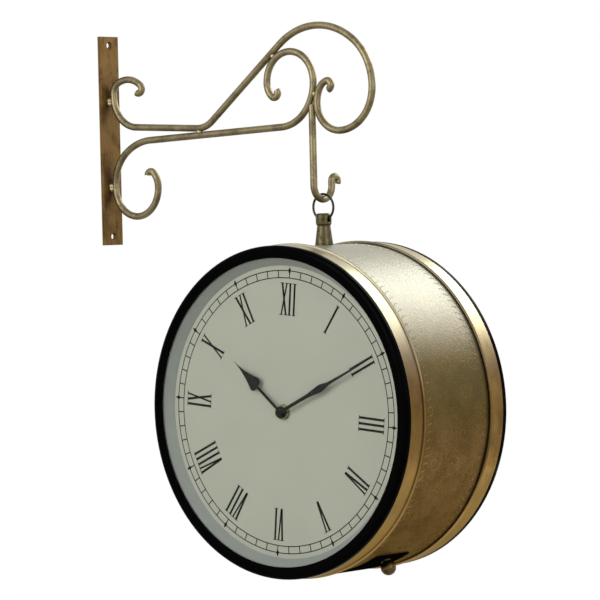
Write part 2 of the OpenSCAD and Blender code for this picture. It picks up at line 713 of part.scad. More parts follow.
module door_knob_nut() {
    color(STEEL) at_drum() radial(knob_at) translate([0, 0, door_in_r - knob_nut_t - 0.03]) difference() {
        cylinder(r = knob_nut_r, h = knob_nut_t, $fn = 6);
        translate([0, 0, -1]) cylinder(r = knob_stud_r, h = knob_nut_t + 2, $fn = fine_fn);
    }
}

module door_catch() {
    slot_half = knob_nut_r + run_gap;
    color(STEEL) at_drum() difference() {
        drum_sector(seat_r - catch_t, seat_r, knob_at - 2, catch_rivet_at + 2.5, catch_half);
        drum_sector(seat_r - 2 * catch_t, shell_r, knob_at - 3, door_edge_at + 1, slot_half);
        at_door_rivets() translate([0, 0, shell_in_r - 5]) cylinder(r = rivet_r, h = 10, $fn = fine_fn);
    }
}

module rivet(low, high) {
    translate([0, 0, low]) cylinder(r = rivet_r, h = high - low, $fn = fine_fn);
    translate([0, 0, high]) intersection() {
        cylinder(r = rivet_head_r, h = rivet_head_h, $fn = fine_fn);
        translate([0, 0, rivet_head_h - rivet_head_r * 1.5]) sphere(r = rivet_head_r * 1.5, $fn = fine_fn);
    }
    translate([0, 0, low - 0.6]) cylinder(r = rivet_head_r - 0.4, h = 0.6, $fn = fine_fn);
}

module door_rivets() {
    color(BRASS) at_drum() for (y = [-1, 1]) {
        radial(leaf_rivet_at) translate([0, y * leaf_rivet_y, 0]) rivet(shell_in_r, shell_r + leaf_t);
        radial(catch_rivet_at) translate([0, y * catch_rivet_y, 0]) rivet(seat_r - catch_t, shell_r);
    }
}

// Rim, bezel, glass, dial and clamp of one side
module rim(side) {
    edge = rim_face - rim_w;
    bead = [for (i = [0 : 14]) [rim_bead_at + rim_bead_r * cos(100 - 20 * i),
        edge + rim_bead_r + rim_bead_r * sin(100 - 20 * i)]];
    color(BRASS) on_side(side) difference() {
        rotate_extrude($fn = 180) polygon(concat(
            [[rim_open_r, shell_half], [rim_open_r, rim_face], [rim_r - 0.8, rim_face],
                [rim_r, rim_face - 0.8], [rim_r, edge + 2 * rim_bead_r]],
            bead,
            [[rim_in_r, edge + rim_bead_r], [rim_in_r, shell_half]]));
        ring_of_screws() translate([0, 0, shell_half - 1])
            cylinder(r = clamp_hole_r, h = rim_t + 2, $fn = fine_fn);
    }
}

// The bezel's top is rounded off outwards and slopes gently in to its lip
bezel_side_h = 2.4;
bezel_crown_in = 4;
function quarter(centre, w, h, count) =
    [for (i = [0 : count]) [centre[0] + w * cos(90 * i / count), centre[1] + h * sin(90 * i / count)]];

module bezel(side) {
    crown = rim_face + bezel_h;
    color(GLOSS_BLACK) on_side(side) difference() {
        rotate_extrude($fn = 180) polygon(concat(
            [[bezel_in_r, rim_face], [bezel_r, rim_face]],
            quarter([bezel_r - bezel_crown_in, rim_face + bezel_side_h], bezel_crown_in, bezel_h - bezel_side_h, 8),
            [[bezel_open_r + 0.6, crown - 0.5], [bezel_open_r, glass_front + bezel_lip_t / 2],
                [bezel_open_r, glass_front], [bezel_in_r, glass_front]]));
        ring_of_screws() translate([0, 0, rim_face - 1])
            cylinder(r = clamp_screw_r, h = clamp_screw_end + 0.2 - rim_face + 1, $fn = fine_fn);
    }
}

module glass(side) {
    color([0.85, 0.9, 0.9, 0.3]) on_side(side) disc(glass_r, glass_back, glass_front, $fn = 180);
}

module dial_ring(side) {
    wall = dial_ring_wall;
    color(MOULDED_GREY) on_side(side) rotate_extrude($fn = 180) polygon([
        [dial_ring_foot_r, dial_front], [dial_ring_top_r, glass_back], [dial_ring_r, glass_back],
        [dial_ring_r, dial_front], [dial_ring_r - wall, dial_front], [dial_ring_r - wall, glass_back - 2 * wall],
        [dial_ring_foot_r + 1.6 * wall, dial_front]]);
}

module dial(side) {
    color(CREAM) on_side(side) difference() {
        disc(dial_ring_r, dial_back, dial_front, $fn = 180);
        disc(bush_r + seat_gap, dial_back - 1, dial_front + 1);
    }
}

module clamp_ring(side) {
    color(STEEL) on_side(side) difference() {
        union() {
            tube(clamp_r, clamp_open_r, clamp_back, dial_back, $fn = 180);
            ring_of_screws() disc(clamp_boss_r, clamp_back, shell_half, $fn = fine_fn);
        }
        ring_of_screws() disc(clamp_hole_r, clamp_back - 1, shell_half + 1, $fn = fine_fn);
    }
}

module clamp_screw_set(side) {
    color(STEEL) on_side(side) ring_of_screws() {
        disc(clamp_screw_r, clamp_back, clamp_screw_end, $fn = fine_fn);
        difference() {
            disc(2 * clamp_screw_r, clamp_back - 1.6, clamp_back, $fn = fine_fn);
            translate([-3 * clamp_screw_r, -0.35, clamp_back - 2]) cube([6 * clamp_screw_r, 0.7, 1.2]);
        }
    }
}

// Movement of one side
module movement_case(side) {
    room = case_w - 2 * case_wall;
    color(MATT_BLACK) on_side(side) difference() {
        union() {
            rounded_plate(case_w, case_w, 3, case_back, case_front);
            disc(bush_r, case_front, bush_end);
        }
        translate([-room / 2, gear_room_low, case_back - 1])
            cube([room, case_w / 2 - case_wall - gear_room_low, gear_room_floor - case_back + 1]);
        translate([-room / 2, bay_y - bay_half, case_back - 1])
            cube([room, 2 * bay_half, bay_floor - case_back + 1]);
        disc(bush_in_r, case_front - 2 * case_wall, bush_end + 1);
        translate([wheel_at[0], wheel_at[1], 0])
            disc(wheel_pin_r + pivot_gap, gear_room_floor - 1, gear_room_floor + 0.8, $fn = fine_fn);
    }
}

module movement_cover(side) {
    low_y = bay_top + seat_gap;
    h = case_w / 2 - low_y;
    color(MATT_BLACK) on_side(side) difference() {
        translate([0, low_y + h / 2, 0]) rounded_plate(case_w, h, 3, cover_back, case_back);
        disc(arbor_r - 0.5 + pivot_gap, cover_back - 1, case_back + 1, $fn = fine_fn);
        translate([wheel_at[0], wheel_at[1], 0])
            disc(wheel_pin_r + pivot_gap, cover_back - 1, case_back + 1, $fn = fine_fn);
    }
}

board_w = 11;
board_h = 30;
board_t = 1;
board_x = -case_w / 2 + case_wall + board_w / 2 + 0.8;
board_y = gear_room_low + board_h / 2 + 1.5;
coil_r = 4;
coil_len = 22;

module circuit_board(side) {
    top = gear_room_floor;
    color("#2f6b3c") on_side(side) translate([board_x, board_y, 0]) difference() {
        rounded_plate(board_w, board_h, 1, top - board_t, top);
        for (y = [-1, 1]) translate([0, y * (board_h / 2 - 2), 0])
            disc(0.8, top - board_t - 1, top + 1, $fn = fine_fn);
    }
}

module drive_coil(side) {
    z = gear_room_floor - board_t - coil_r;
    color("#a5582a") on_side(side) translate([board_x, board_y, z]) rotate([90, 0, 0])
        translate([0, 0, -coil_len / 2]) rotate_extrude($fn = turned_fn) polygon([
            [0, 0], [coil_r, 0], [coil_r, 1], [coil_r - 1, 1], [coil_r - 1, coil_len - 1],
            [coil_r, coil_len - 1], [coil_r, coil_len], [0, coil_len]]);
}

module battery(side) {
    button_r = 2.7;
    button_h = 1.2;
    color(STEEL) on_side(side) translate([-battery_len / 2 - button_h / 2, bay_y, battery_z]) rotate([0, 90, 0]) {
        cylinder(r = battery_r, h = battery_len, $fn = turned_fn);
        cylinder(r = button_r, h = battery_len + button_h, $fn = fine_fn);
    }
}

module dial_washer(side) {
    color(BRASS) on_side(side) tube(dial_nut_r + 0.8, bush_r + seat_gap, dial_front, dial_front + washer_t);
}

module dial_nut(side) {
    low = dial_front + washer_t;
    color(BRASS) on_side(side) difference() {
        union() {
            disc(dial_nut_r, low, low + nut_t - 0.5);
            translate([0, 0, low + nut_t - 0.5]) cylinder(r1 = dial_nut_r, r2 = dial_nut_r - 0.5, h = 0.5);
        }
        disc(bush_r, low - 1, low + nut_t + 1);
        for (turn = [0, 90]) rotate([0, 0, turn])
            translate([-2 * dial_nut_r, -0.6, low + nut_t - 0.7]) cube([4 * dial_nut_r, 1.2, 2]);
    }
}

// Gears start where the minute arbor's pinion, the minute wheel and the hour wheel mesh
wheel_turn = gap_facing(minute_wheel_teeth, wheel_dir + 180);
hour_turn = gap_facing(hour_wheel_teeth, wheel_dir);
front_minute_angle = 6 * front_minute + dial_turn;
front_hour_angle = 30 * front_hour + front_minute / 2 + dial_turn;
rear_minute_angle = 6 * rear_minute;
rear_hour_angle = 30 * rear_hour + rear_minute / 2;

module minute_arbor(side) {
    low = cover_back + 0.3;
    color(STEEL) on_side(side) {
        disc(arbor_r - 0.5, low, case_back + 0.8, $fn = fine_fn);
        disc(arbor_r, case_back + 0.5, minute_hand_low, $fn = fine_fn);
        disc(arbor_r - 0.3, minute_hand_low, minute_hand_top + cap_h - 0.3, $fn = fine_fn);
        translate([0, 0, minute_wheel_low - 0.3]) gear(cannon_teeth, wheel_t + 0.6, wheel_dir);
    }
}

module minute_wheel(side) {
    color(BRASS) on_side(side) translate([wheel_at[0], wheel_at[1], 0]) {
        translate([0, 0, minute_wheel_low]) gear(minute_wheel_teeth, wheel_t, wheel_turn);
        translate([0, 0, minute_wheel_top]) gear(minute_pinion_teeth, hour_wheel_top - minute_wheel_top, wheel_dir + 180);
        disc(wheel_pin_r, cover_back - knob_room - 3.6, gear_room_floor + 0.6, $fn = fine_fn);
    }
}

module hour_wheel(side) {
    color(BRASS) on_side(side) difference() {
        union() {
            translate([0, 0, hour_wheel_low]) gear(hour_wheel_teeth, wheel_t, hour_turn);
            disc(pipe_r, hour_wheel_low, pipe_end);
        }
        disc(pipe_in_r, hour_wheel_low - 1, pipe_end + 1);
    }
}

module setting_knob(side) {
    radius = 6;
    high = cover_back - knob_room;
    color("#7d2f2a") on_side(side) translate([wheel_at[0], wheel_at[1], 0]) difference() {
        disc(radius, high - 3.6, high, $fn = turned_fn);
        disc(wheel_pin_r, high - 5, high + 1, $fn = fine_fn);
        for (i = [0 : 11]) rotate([0, 0, 30 * i]) translate([radius + 0.5, 0, 0])
            disc(1, high - 5, high + 1, $fn = fine_fn);
    }
}

// Hands: drawn along y, then turned clockwise to the time shown
hour_shaft_w = 2.4;
hour_lobe_r = hour_spade_w * 0.29;
minute_root_w = 2.6;
minute_waist_w = 2.6;
minute_tip_w = 0.7;
hand_steps = 10;

// The spade narrows to its point along a hollow curve
function spade_edge(t) =
    [hour_spade_w / 2 * pow(1 - t, 1.9) + 0.25 * (1 - t), hour_spade_at + (hour_len - hour_spade_at) * t];
spade_side = [for (i = [0 : hand_steps]) spade_edge(i / hand_steps)];
function mirrored(points) = [for (i = [len(points) - 1 : -1 : 0]) [-points[i][0], points[i][1]]];

module hour_hand(side, angle) {
    lobe_x = hour_spade_w / 2 - hour_lobe_r;
    color(MATT_BLACK) on_side(side) rotate([0, 0, -angle]) difference() {
        union() {
            translate([0, 0, hour_hand_low]) linear_extrude(hand_t) union() {
                circle(r = hub_r, $fn = turned_fn);
                translate([-hour_shaft_w / 2, 0]) square([hour_shaft_w, hour_spade_at]);
                polygon(concat(spade_side, mirrored(spade_side)));
                for (x = [-lobe_x, lobe_x]) translate([x, hour_spade_at]) circle(r = hour_lobe_r, $fn = fine_fn);
            }
            disc(pipe_r + 0.9, hour_hand_low - 0.5, hour_hand_low, $fn = fine_fn);
        }
        disc(pipe_r, hour_hand_low - 1, hour_hand_top + 1, $fn = fine_fn);
    }
}

module minute_hand(side, angle) {
    half = [[minute_root_w / 2, 0], [minute_waist_w / 2 + 0.2, minute_kite_at - 16],
        [minute_kite_w / 2, minute_kite_at], [minute_waist_w / 2, minute_kite_at + 9],
        [minute_tip_w / 2, minute_len]];
    color(MATT_BLACK) on_side(side) rotate([0, 0, -angle]) difference() {
        translate([0, 0, minute_hand_low]) linear_extrude(hand_t) union() {
            circle(r = hub_r - 0.8, $fn = turned_fn);
            polygon(concat(half, mirrored(half)));
        }
        disc(arbor_r - 0.3, minute_hand_low - 1, minute_hand_top + 1, $fn = fine_fn);
    }
}

module hand_cap(side) {
    radius = 2.4;
    color(MATT_BLACK) on_side(side) difference() {
        union() {
            disc(radius, minute_hand_top, minute_hand_top + cap_h - 0.4, $fn = fine_fn);
            translate([0, 0, minute_hand_top + cap_h - 0.4]) cylinder(r1 = radius, r2 = radius - 0.6, h = 0.4, $fn = fine_fn);
        }
        disc(arbor_r - 0.3, minute_hand_top - 1, minute_hand_top + cap_h - 0.3, $fn = fine_fn);
    }
}

wall_strip();
upper_scroll();
lower_scroll();
hook_rod();
weld_beads();
hanging_ring();
drum_shell();
hanger_spindle();
hanger_plate();
hanger_nut();
hinge_leaf();
hinge_pin();
door_catch();
door_rivets();
access_door();
door_knob();
door_knob_nut();
rim(FRONT);  // front_rim
bezel(FRONT);  // front_bezel
glass(FRONT);  // front_glass
dial_ring(FRONT);  // front_dial_ring
dial(FRONT);  // front_dial
clamp_ring(FRONT);  // front_clamp_ring
clamp_screw_set(FRONT);  // front_clamp_screws
movement_case(FRONT);  // front_movement_case
movement_cover(FRONT);  // front_movement_cover
circuit_board(FRONT);  // front_circuit_board
drive_coil(FRONT);  // front_drive_coil
battery(FRONT);  // front_battery
dial_washer(FRONT);  // front_dial_washer
dial_nut(FRONT);  // front_dial_nut
minute_arbor(FRONT);  // front_minute_arbor
minute_wheel(FRONT);  // front_minute_wheel
hour_wheel(FRONT);  // front_hour_wheel
setting_knob(FRONT);  // front_setting_knob
hour_hand(FRONT, front_hour_angle);  // front_hour_hand
minute_hand(FRONT, front_minute_angle);  // front_minute_hand
hand_cap(FRONT);  // front_hand_cap
rim(REAR);  // rear_rim
bezel(REAR);  // rear_bezel
glass(REAR);  // rear_glass
dial_ring(REAR);  // rear_dial_ring
dial(REAR);  // rear_dial
clamp_ring(REAR);  // rear_clamp_ring
clamp_screw_set(REAR);  // rear_clamp_screws
movement_case(REAR);  // rear_movement_case
movement_cover(REAR);  // rear_movement_cover
circuit_board(REAR);  // rear_circuit_board
drive_coil(REAR);  // rear_drive_coil
battery(REAR);  // rear_battery
dial_washer(REAR);  // rear_dial_washer
dial_nut(REAR);  // rear_dial_nut
minute_arbor(REAR);  // rear_minute_arbor
minute_wheel(REAR);  // rear_minute_wheel
hour_wheel(REAR);  // rear_hour_wheel
setting_knob(REAR);  // rear_setting_knob
hour_hand(REAR, rear_hour_angle);  // rear_hour_hand
minute_hand(REAR, rear_minute_angle);  // rear_minute_hand
hand_cap(REAR);  // rear_hand_cap
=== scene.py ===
"""Looks of a double-sided station clock that hangs from a scrolled wall bracket.

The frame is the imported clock: metres, +Z up, +X out from the wall, and the front dial faces -Y.
Sizes below are in millimetres unless a name says otherwise, and places come from the frame's own nodes.
"""

from __future__ import annotations

import logging
import math
from dataclasses import dataclass, field, replace
from enum import Enum

import bmesh
import bpy
from bpy.types import Material, Node, NodeSocket, NodeTree, Object, World
from mathutils import Matrix, Vector


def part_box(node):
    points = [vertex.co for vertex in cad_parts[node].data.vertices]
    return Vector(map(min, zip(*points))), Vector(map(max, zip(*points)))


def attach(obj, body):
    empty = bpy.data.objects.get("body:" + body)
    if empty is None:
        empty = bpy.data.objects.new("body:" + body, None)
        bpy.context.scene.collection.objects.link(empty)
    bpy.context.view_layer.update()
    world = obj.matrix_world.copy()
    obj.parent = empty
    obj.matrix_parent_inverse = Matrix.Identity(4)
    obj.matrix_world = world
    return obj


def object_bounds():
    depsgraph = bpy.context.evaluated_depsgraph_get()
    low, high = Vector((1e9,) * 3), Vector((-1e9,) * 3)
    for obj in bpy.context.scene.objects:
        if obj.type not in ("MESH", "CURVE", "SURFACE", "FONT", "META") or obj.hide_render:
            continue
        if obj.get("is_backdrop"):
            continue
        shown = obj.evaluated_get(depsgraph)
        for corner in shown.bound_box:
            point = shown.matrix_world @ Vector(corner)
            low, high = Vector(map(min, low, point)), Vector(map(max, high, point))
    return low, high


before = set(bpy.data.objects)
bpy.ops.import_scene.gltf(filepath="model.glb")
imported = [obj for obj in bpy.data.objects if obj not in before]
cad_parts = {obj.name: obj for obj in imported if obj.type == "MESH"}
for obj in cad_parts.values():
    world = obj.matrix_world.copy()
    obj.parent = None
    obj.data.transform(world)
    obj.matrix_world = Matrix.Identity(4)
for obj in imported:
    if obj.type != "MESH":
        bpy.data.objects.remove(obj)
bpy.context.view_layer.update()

MM = 0.001
FULL_TURN = 2 * math.pi
HOURS = 12
MINUTES = 60
log = logging.getLogger("station_clock")

# What an input takes its value from: a socket, or a node's first output in use
Feed = NodeSocket | Node
Inputs = bpy.types.bpy_prop_collection


# Helpers for colours, nodes and pieces


def linear(hex_colour: str) -> tuple[float, float, float, float]:
    """Turns an sRGB hex colour into the linear one that a shader takes.

    Args:
        hex_colour: the colour as "#rrggbb".

    Returns:
        Red, green, blue and an alpha of 1.
    """
    channels = [int(hex_colour[i : i + 2], 16) / 255 for i in (1, 3, 5)]
    lit = [c / 12.92 if c <= 0.04045 else ((c + 0.055) / 1.055) ** 2.4 for c in channels]
    return (lit[0], lit[1], lit[2], 1.0)


def add_node(tree: NodeTree, kind: str, inputs: dict | None = None, **settings: object) -> Node:
    """Adds a node to a tree, sets its properties, and then sets or links its inputs.

    Args:
        tree: the shader or geometry tree.
        kind: the node's type.
        inputs: for each input's name or number, a value, or the socket or node that it is linked to.
        settings: the node's own properties.

    Returns:
        The new node.
    """
    made = tree.nodes.new(kind)
    for name, value in settings.items():
        setattr(made, name, value)
    for key, value in (inputs or {}).items():
        if isinstance(value, Node):
            value = next(out for out in value.outputs if out.enabled)
        if isinstance(value, NodeSocket):
            tree.links.new(value, made.inputs[key])
        else:
            made.inputs[key].default_value = value
    return made


def emptied(made: Material | World) -> NodeTree:
    """Turns on the nodes of a new material or surround and clears them.

    Args:
        made: the material or the surround.

    Returns:
        Its empty tree.
    """
    made.use_nodes = True
    made.node_tree.nodes.clear()
    return made.node_tree


def dress(names: list[str], material: Material) -> None:
    """Gives CAD nodes a finish.

    Args:
        names: the nodes.
        material: the finish's material.
    """
    for name in names:
        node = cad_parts[name]
        if not node.material_slots:
            node.data.materials.append(material)
        for held in node.material_slots:
            held.material = material
        log.info("%s: %s", name, material.name)


def middle(name: str) -> Vector:
    """Gives the middle of a CAD node's box, in metres."""
    low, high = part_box(name)
    return (low + high) / 2


def keep(piece: Object, body: str, material: Material) -> None:
    """Finishes a new piece: its material and its body, and logs it.

    Args:
        piece: the piece, in place in its mesh.
        body: the CAD body that it rides on.
        material: its finish.
    """
    piece.data.materials.clear()
    piece.data.materials.append(material)
    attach(piece, body)
    log.info("%s: %d faces, rides on %s", piece.name, len(piece.data.polygons), body)


def mesh_piece(name: str, shape: bmesh.types.BMesh) -> Object:
    """Turns a finished shape into an object at the origin.

    Args:
        name: the piece's name.
        shape: its mesh, in metres, which is freed.

    Returns:
        The object, linked to the scene.
    """
    mesh = bpy.data.meshes.new(name)
    shape.to_mesh(mesh)
    shape.free()
    piece = bpy.data.objects.new(name, mesh)
    bpy.context.scene.collection.objects.link(piece)
    return piece


def new_rule(name: str, sizes: tuple[str, ...], counts: tuple[str, ...] = ()) -> tuple[NodeTree, Inputs]:
    """Starts a geometry tree with named inputs, of which the last is the material.

    Args:
        name: the tree's name.
        sizes: the names of its inputs that are sizes or angles.
        counts: the names of those that are whole numbers.

    Returns:
        The tree, and its inputs by name.
    """
    tree = bpy.data.node_groups.new(name, "GeometryNodeTree")
    for kind, labels in (("Float", sizes), ("Int", counts), ("Material", ("Material",))):
        for label in labels:
            tree.interface.new_socket(label, in_out="INPUT", socket_type=f"NodeSocket{kind}")
    tree.interface.new_socket("Geometry", in_out="OUTPUT", socket_type="NodeSocketGeometry")
    return tree, add_node(tree, "NodeGroupInput").outputs


def end_rule(tree: NodeTree, shape: Feed, given: Inputs) -> NodeTree:
    """Ends a geometry tree with real geometry that has its material.

    Args:
        tree: the tree.
        shape: what it has made.
        given: the tree's inputs.

    Returns:
        The tree.
    """
    real = add_node(tree, "GeometryNodeRealizeInstances", {"Geometry": shape})
    made = add_node(tree, "GeometryNodeSetMaterial", {"Geometry": real, "Material": given["Material"]})
    add_node(tree, "NodeGroupOutput", {"Geometry": made})
    return tree


def grow(name: str, tree: NodeTree, values: dict[str, object], place: Matrix) -> Object:
    """Runs a geometry tree once and keeps the result as a plain mesh.

    Args:
        name: the piece's name.
        tree: the geometry tree.
        values: a value for each named input.
        place: where the mesh goes, applied to its vertices.

    Returns:
        The piece, at the origin and with no modifier.
    """
    host = bpy.data.objects.new(name, bpy.data.meshes.new(name))
    bpy.context.scene.collection.objects.link(host)
    modifier = host.modifiers.new("rule", "NODES")
    modifier.node_group = tree
    for item in tree.interface.items_tree:
        if item.item_type == "SOCKET" and item.in_out == "INPUT":
            modifier[item.identifier] = values[item.name]
    graph = bpy.context.evaluated_depsgraph_get()
    grown = bpy.data.meshes.new_from_object(host.evaluated_get(graph), depsgraph=graph)
    host.modifiers.remove(modifier)
    grown.transform(place)
    host.data = grown
    return host


# Finishes


class Grain(Enum):
    """How far a metal's fine lines are drawn out along x, y and z. A small number is a long line."""

    EVEN = (1.0, 1.0, 1.0)
    UPRIGHT = (1.0, 1.0, 0.05)
    LENGTHWISE = (0.15, 1.0, 0.5)


@dataclass(frozen=True)
class PlatedMetal:
    """Metal with an aged skin: darker patches, fine lines, and bright wear along its edges."""

    name: str
    dark: str
    mid: str
    light: str
    rough_low: float
    rough_high: float
    patch_size: float = 9.0
    # Polishing lines are really under 0.1 mm wide, and are drawn coarser so that they show
    grain_size: float = 0.8
    grain: Grain = Grain.EVEN
    grain_share: float = 0.55
    relief: float = 0.03
    edge_size: float = 0.5
    edge_wear: float = 0.5
    edge_on: str = "#ffffff"

    def material(self) -> Material:
        """Makes the metal's material.

        Returns:
            The material.
        """
        made = bpy.data.materials.new(self.name)
        tree = emptied(made)
        where = add_node(tree, "ShaderNodeTexCoord").outputs["Object"]
        drawn = add_node(tree, "ShaderNodeMapping", {"Vector": where, "Scale": self.grain.value})
        patches = add_node(tree, "ShaderNodeTexNoise", {
            "Vector": where, "Scale": 1 / (self.patch_size * MM), "Detail": 4.0, "Roughness": 0.65})
        lines = add_node(tree, "ShaderNodeTexNoise", {
            "Vector": drawn, "Scale": 1 / (self.grain_size * MM), "Detail": 3.0, "Roughness": 0.6})
        aged = add_node(tree, "ShaderNodeMapRange", {
            "Value": patches, "From Min": 0.36, "From Max": 0.58}, interpolation_type="SMOOTHSTEP")
        fine = add_node(tree, "ShaderNodeMapRange", {
            "Value": lines, "From Min": 0.35, "From Max": 0.7, "To Max": self.grain_share})
        skin = add_node(tree, "ShaderNodeMix", {
            0: aged, 6: linear(self.dark), 7: linear(self.mid)}, data_type="RGBA")
        lit = add_node(tree, "ShaderNodeMix", {0: fine, 6: skin, 7: linear(self.light)}, data_type="RGBA")
        rounded = add_node(tree, "ShaderNodeBevel", {"Radius": self.edge_size * MM}, samples=4)
        facing = add_node(tree, "ShaderNodeNewGeometry")
        same = add_node(tree, "ShaderNodeVectorMath", {
            0: rounded, 1: facing.outputs["Normal"]}, operation="DOT_PRODUCT")
        brightened = add_node(tree, "ShaderNodeMapRange", {
            "Value": same.outputs["Value"], "From Min": 0.99, "From Max": 0.82, "To Max": self.edge_wear})
        wear_and_painted_light = add_node(tree, "ShaderNodeMath", {0: brightened, 1: aged}, operation="MULTIPLY")
        colour = add_node(tree, "ShaderNodeMix", {0: wear_and_painted_light, 6: lit, 7: linear(self.light)}, data_type="RGBA")
        rough = add_node(tree, "ShaderNodeMapRange", {
            "Value": patches, "From Min": 0.35, "From Max": 0.65,
            "To Min": self.rough_high, "To Max": self.rough_low})
        bump = add_node(tree, "ShaderNodeBump", {
            "Height": lines, "Strength": 0.6, "Distance": self.relief * MM})
        shader = add_node(tree, "ShaderNodeBsdfPrincipled", {
            "Base Color": colour, "Metallic": 1.0, "Roughness": rough,
            "Normal": bump, "Specular Tint": linear(self.edge_on)})
        add_node(tree, "ShaderNodeOutputMaterial", {"Surface": shader})
        return made


@dataclass(frozen=True)
class Coating:
    """Paint, enamel or moulded plastic: one colour with a faint mottle, a soft relief and its own gloss."""

    name: str
    colour: str
    mottle: str
    roughness: float
    mottle_size: float = 12.0
    mottle_share: float = 0.5
    # The skin's real grain is about 0.1 mm, and is drawn coarser so that it shows
    grain_size: float = 0.6
    relief: float = 0.01
    specular: float = 0.5
    coat: float = 0.0

    def material(self) -> Material:
        """Makes the coating's material.

        Returns:
            The material.
        """
        made = bpy.data.materials.new(self.name)
        tree = emptied(made)
        where = add_node(tree, "ShaderNodeTexCoord").outputs["Object"]
        cloud = add_node(tree, "ShaderNodeTexNoise", {
            "Vector": where, "Scale": 1 / (self.mottle_size * MM), "Detail": 5.0, "Roughness": 0.6})
        grain = add_node(tree, "ShaderNodeTexNoise", {
            "Vector": where, "Scale": 1 / (self.grain_size * MM), "Detail": 2.0})
        share = add_node(tree, "ShaderNodeMapRange", {
            "Value": cloud, "From Min": 0.35, "From Max": 0.68, "To Max": self.mottle_share})
        colour = add_node(tree, "ShaderNodeMix", {
            0: share, 6: linear(self.colour), 7: linear(self.mottle)}, data_type="RGBA")
        rough = add_node(tree, "ShaderNodeMapRange", {
            "Value": grain, "To Min": self.roughness * 0.85, "To Max": self.roughness * 1.15})
        bump = add_node(tree, "ShaderNodeBump", {
            "Height": grain, "Strength": 0.5, "Distance": self.relief * MM})
        shader = add_node(tree, "ShaderNodeBsdfPrincipled", {
            "Base Color": colour, "Roughness": rough, "Normal": bump,
            "Specular IOR Level": self.specular, "Coat Weight": self.coat, "Coat Roughness": 0.08})
        add_node(tree, "ShaderNodeOutputMaterial", {"Surface": shader})
        return made


@dataclass(frozen=True)
class Wash:
    """A tone over the drum's brass that grows with height, from its start until it is full, in drum radii."""

    colour: str
    start: float
    full: float
    share: float


@dataclass(frozen=True)
class DrumBrass:
    """Brass round the drum under old lacquer, which is whole on top and has worn thin low down."""

    name: str
    centre: tuple[float, float, float]
    radius: float
    edge_on: str = "#ffffff"
    lacquer_below: float = 0.0
    lacquer_above: float = 1.0
    lacquer_whole: float = 0.65
    lacquer_rough: float = 0.3

    def places(self, tree: NodeTree) -> tuple[Feed, Feed, Feed, Feed]:
        """Finds where a point of the surface lies on the drum.

        Args:
            tree: the material's tree.

        Returns:
            The point, its angle about the drum's axis, its distance along that axis, and its height above it.
        """
        where = add_node(tree, "ShaderNodeTexCoord").outputs["Object"]
        about = add_node(tree, "ShaderNodeMapping", {"Vector": where, "Location": [-c for c in self.centre]})
        place = add_node(tree, "ShaderNodeSeparateXYZ", {0: about})
        turn = add_node(tree, "ShaderNodeMath", {
            0: place.outputs["Z"], 1: place.outputs["X"]}, operation="ARCTAN2")
        return where, turn, place.outputs["Y"], place.outputs["Z"]

    def washed(self, tree: NodeTree, height: Feed, colour: object, washes: tuple[Wash, ...]) -> Feed:
        """Lays tones over a colour, one after the other.

        Args:
            tree: the material's tree.
            height: the point's height above the drum's axis.
            colour: the colour underneath, or what gives it.
            washes: the tones.

        Returns:
            The last colour.
        """
        for wash in washes:
            share = add_node(tree, "ShaderNodeMapRange", {
                "Value": height, "From Min": wash.start * self.radius * MM,
                "From Max": wash.full * self.radius * MM, "To Max": wash.share})
            colour = add_node(tree, "ShaderNodeMix", {
                0: share, 6: colour, 7: linear(wash.colour)}, data_type="RGBA")
        return colour

    def lacquered(self, tree: NodeTree, height: Feed, metal: dict) -> None:
        """Ends the material with the metal under its lacquer.

        Args:
            tree: the material's tree.
            height: the point's height above the drum's axis.
            metal: the metal's colour, roughness and relief by socket.
        """
        lacquer = add_node(tree, "ShaderNodeMapRange", {
            "Value": height, "From Max": self.lacquer_whole * self.radius * MM,
            "To Min": self.lacquer_below, "To Max": self.lacquer_above})
        shader = add_node(tree, "ShaderNodeBsdfPrincipled", {
            "Metallic": 1.0, "Specular Tint": linear(self.edge_on), "Coat Weight": lacquer,
            "Coat Roughness": self.lacquer_rough, **metal})
        add_node(tree, "ShaderNodeOutputMaterial", {"Surface": shader})


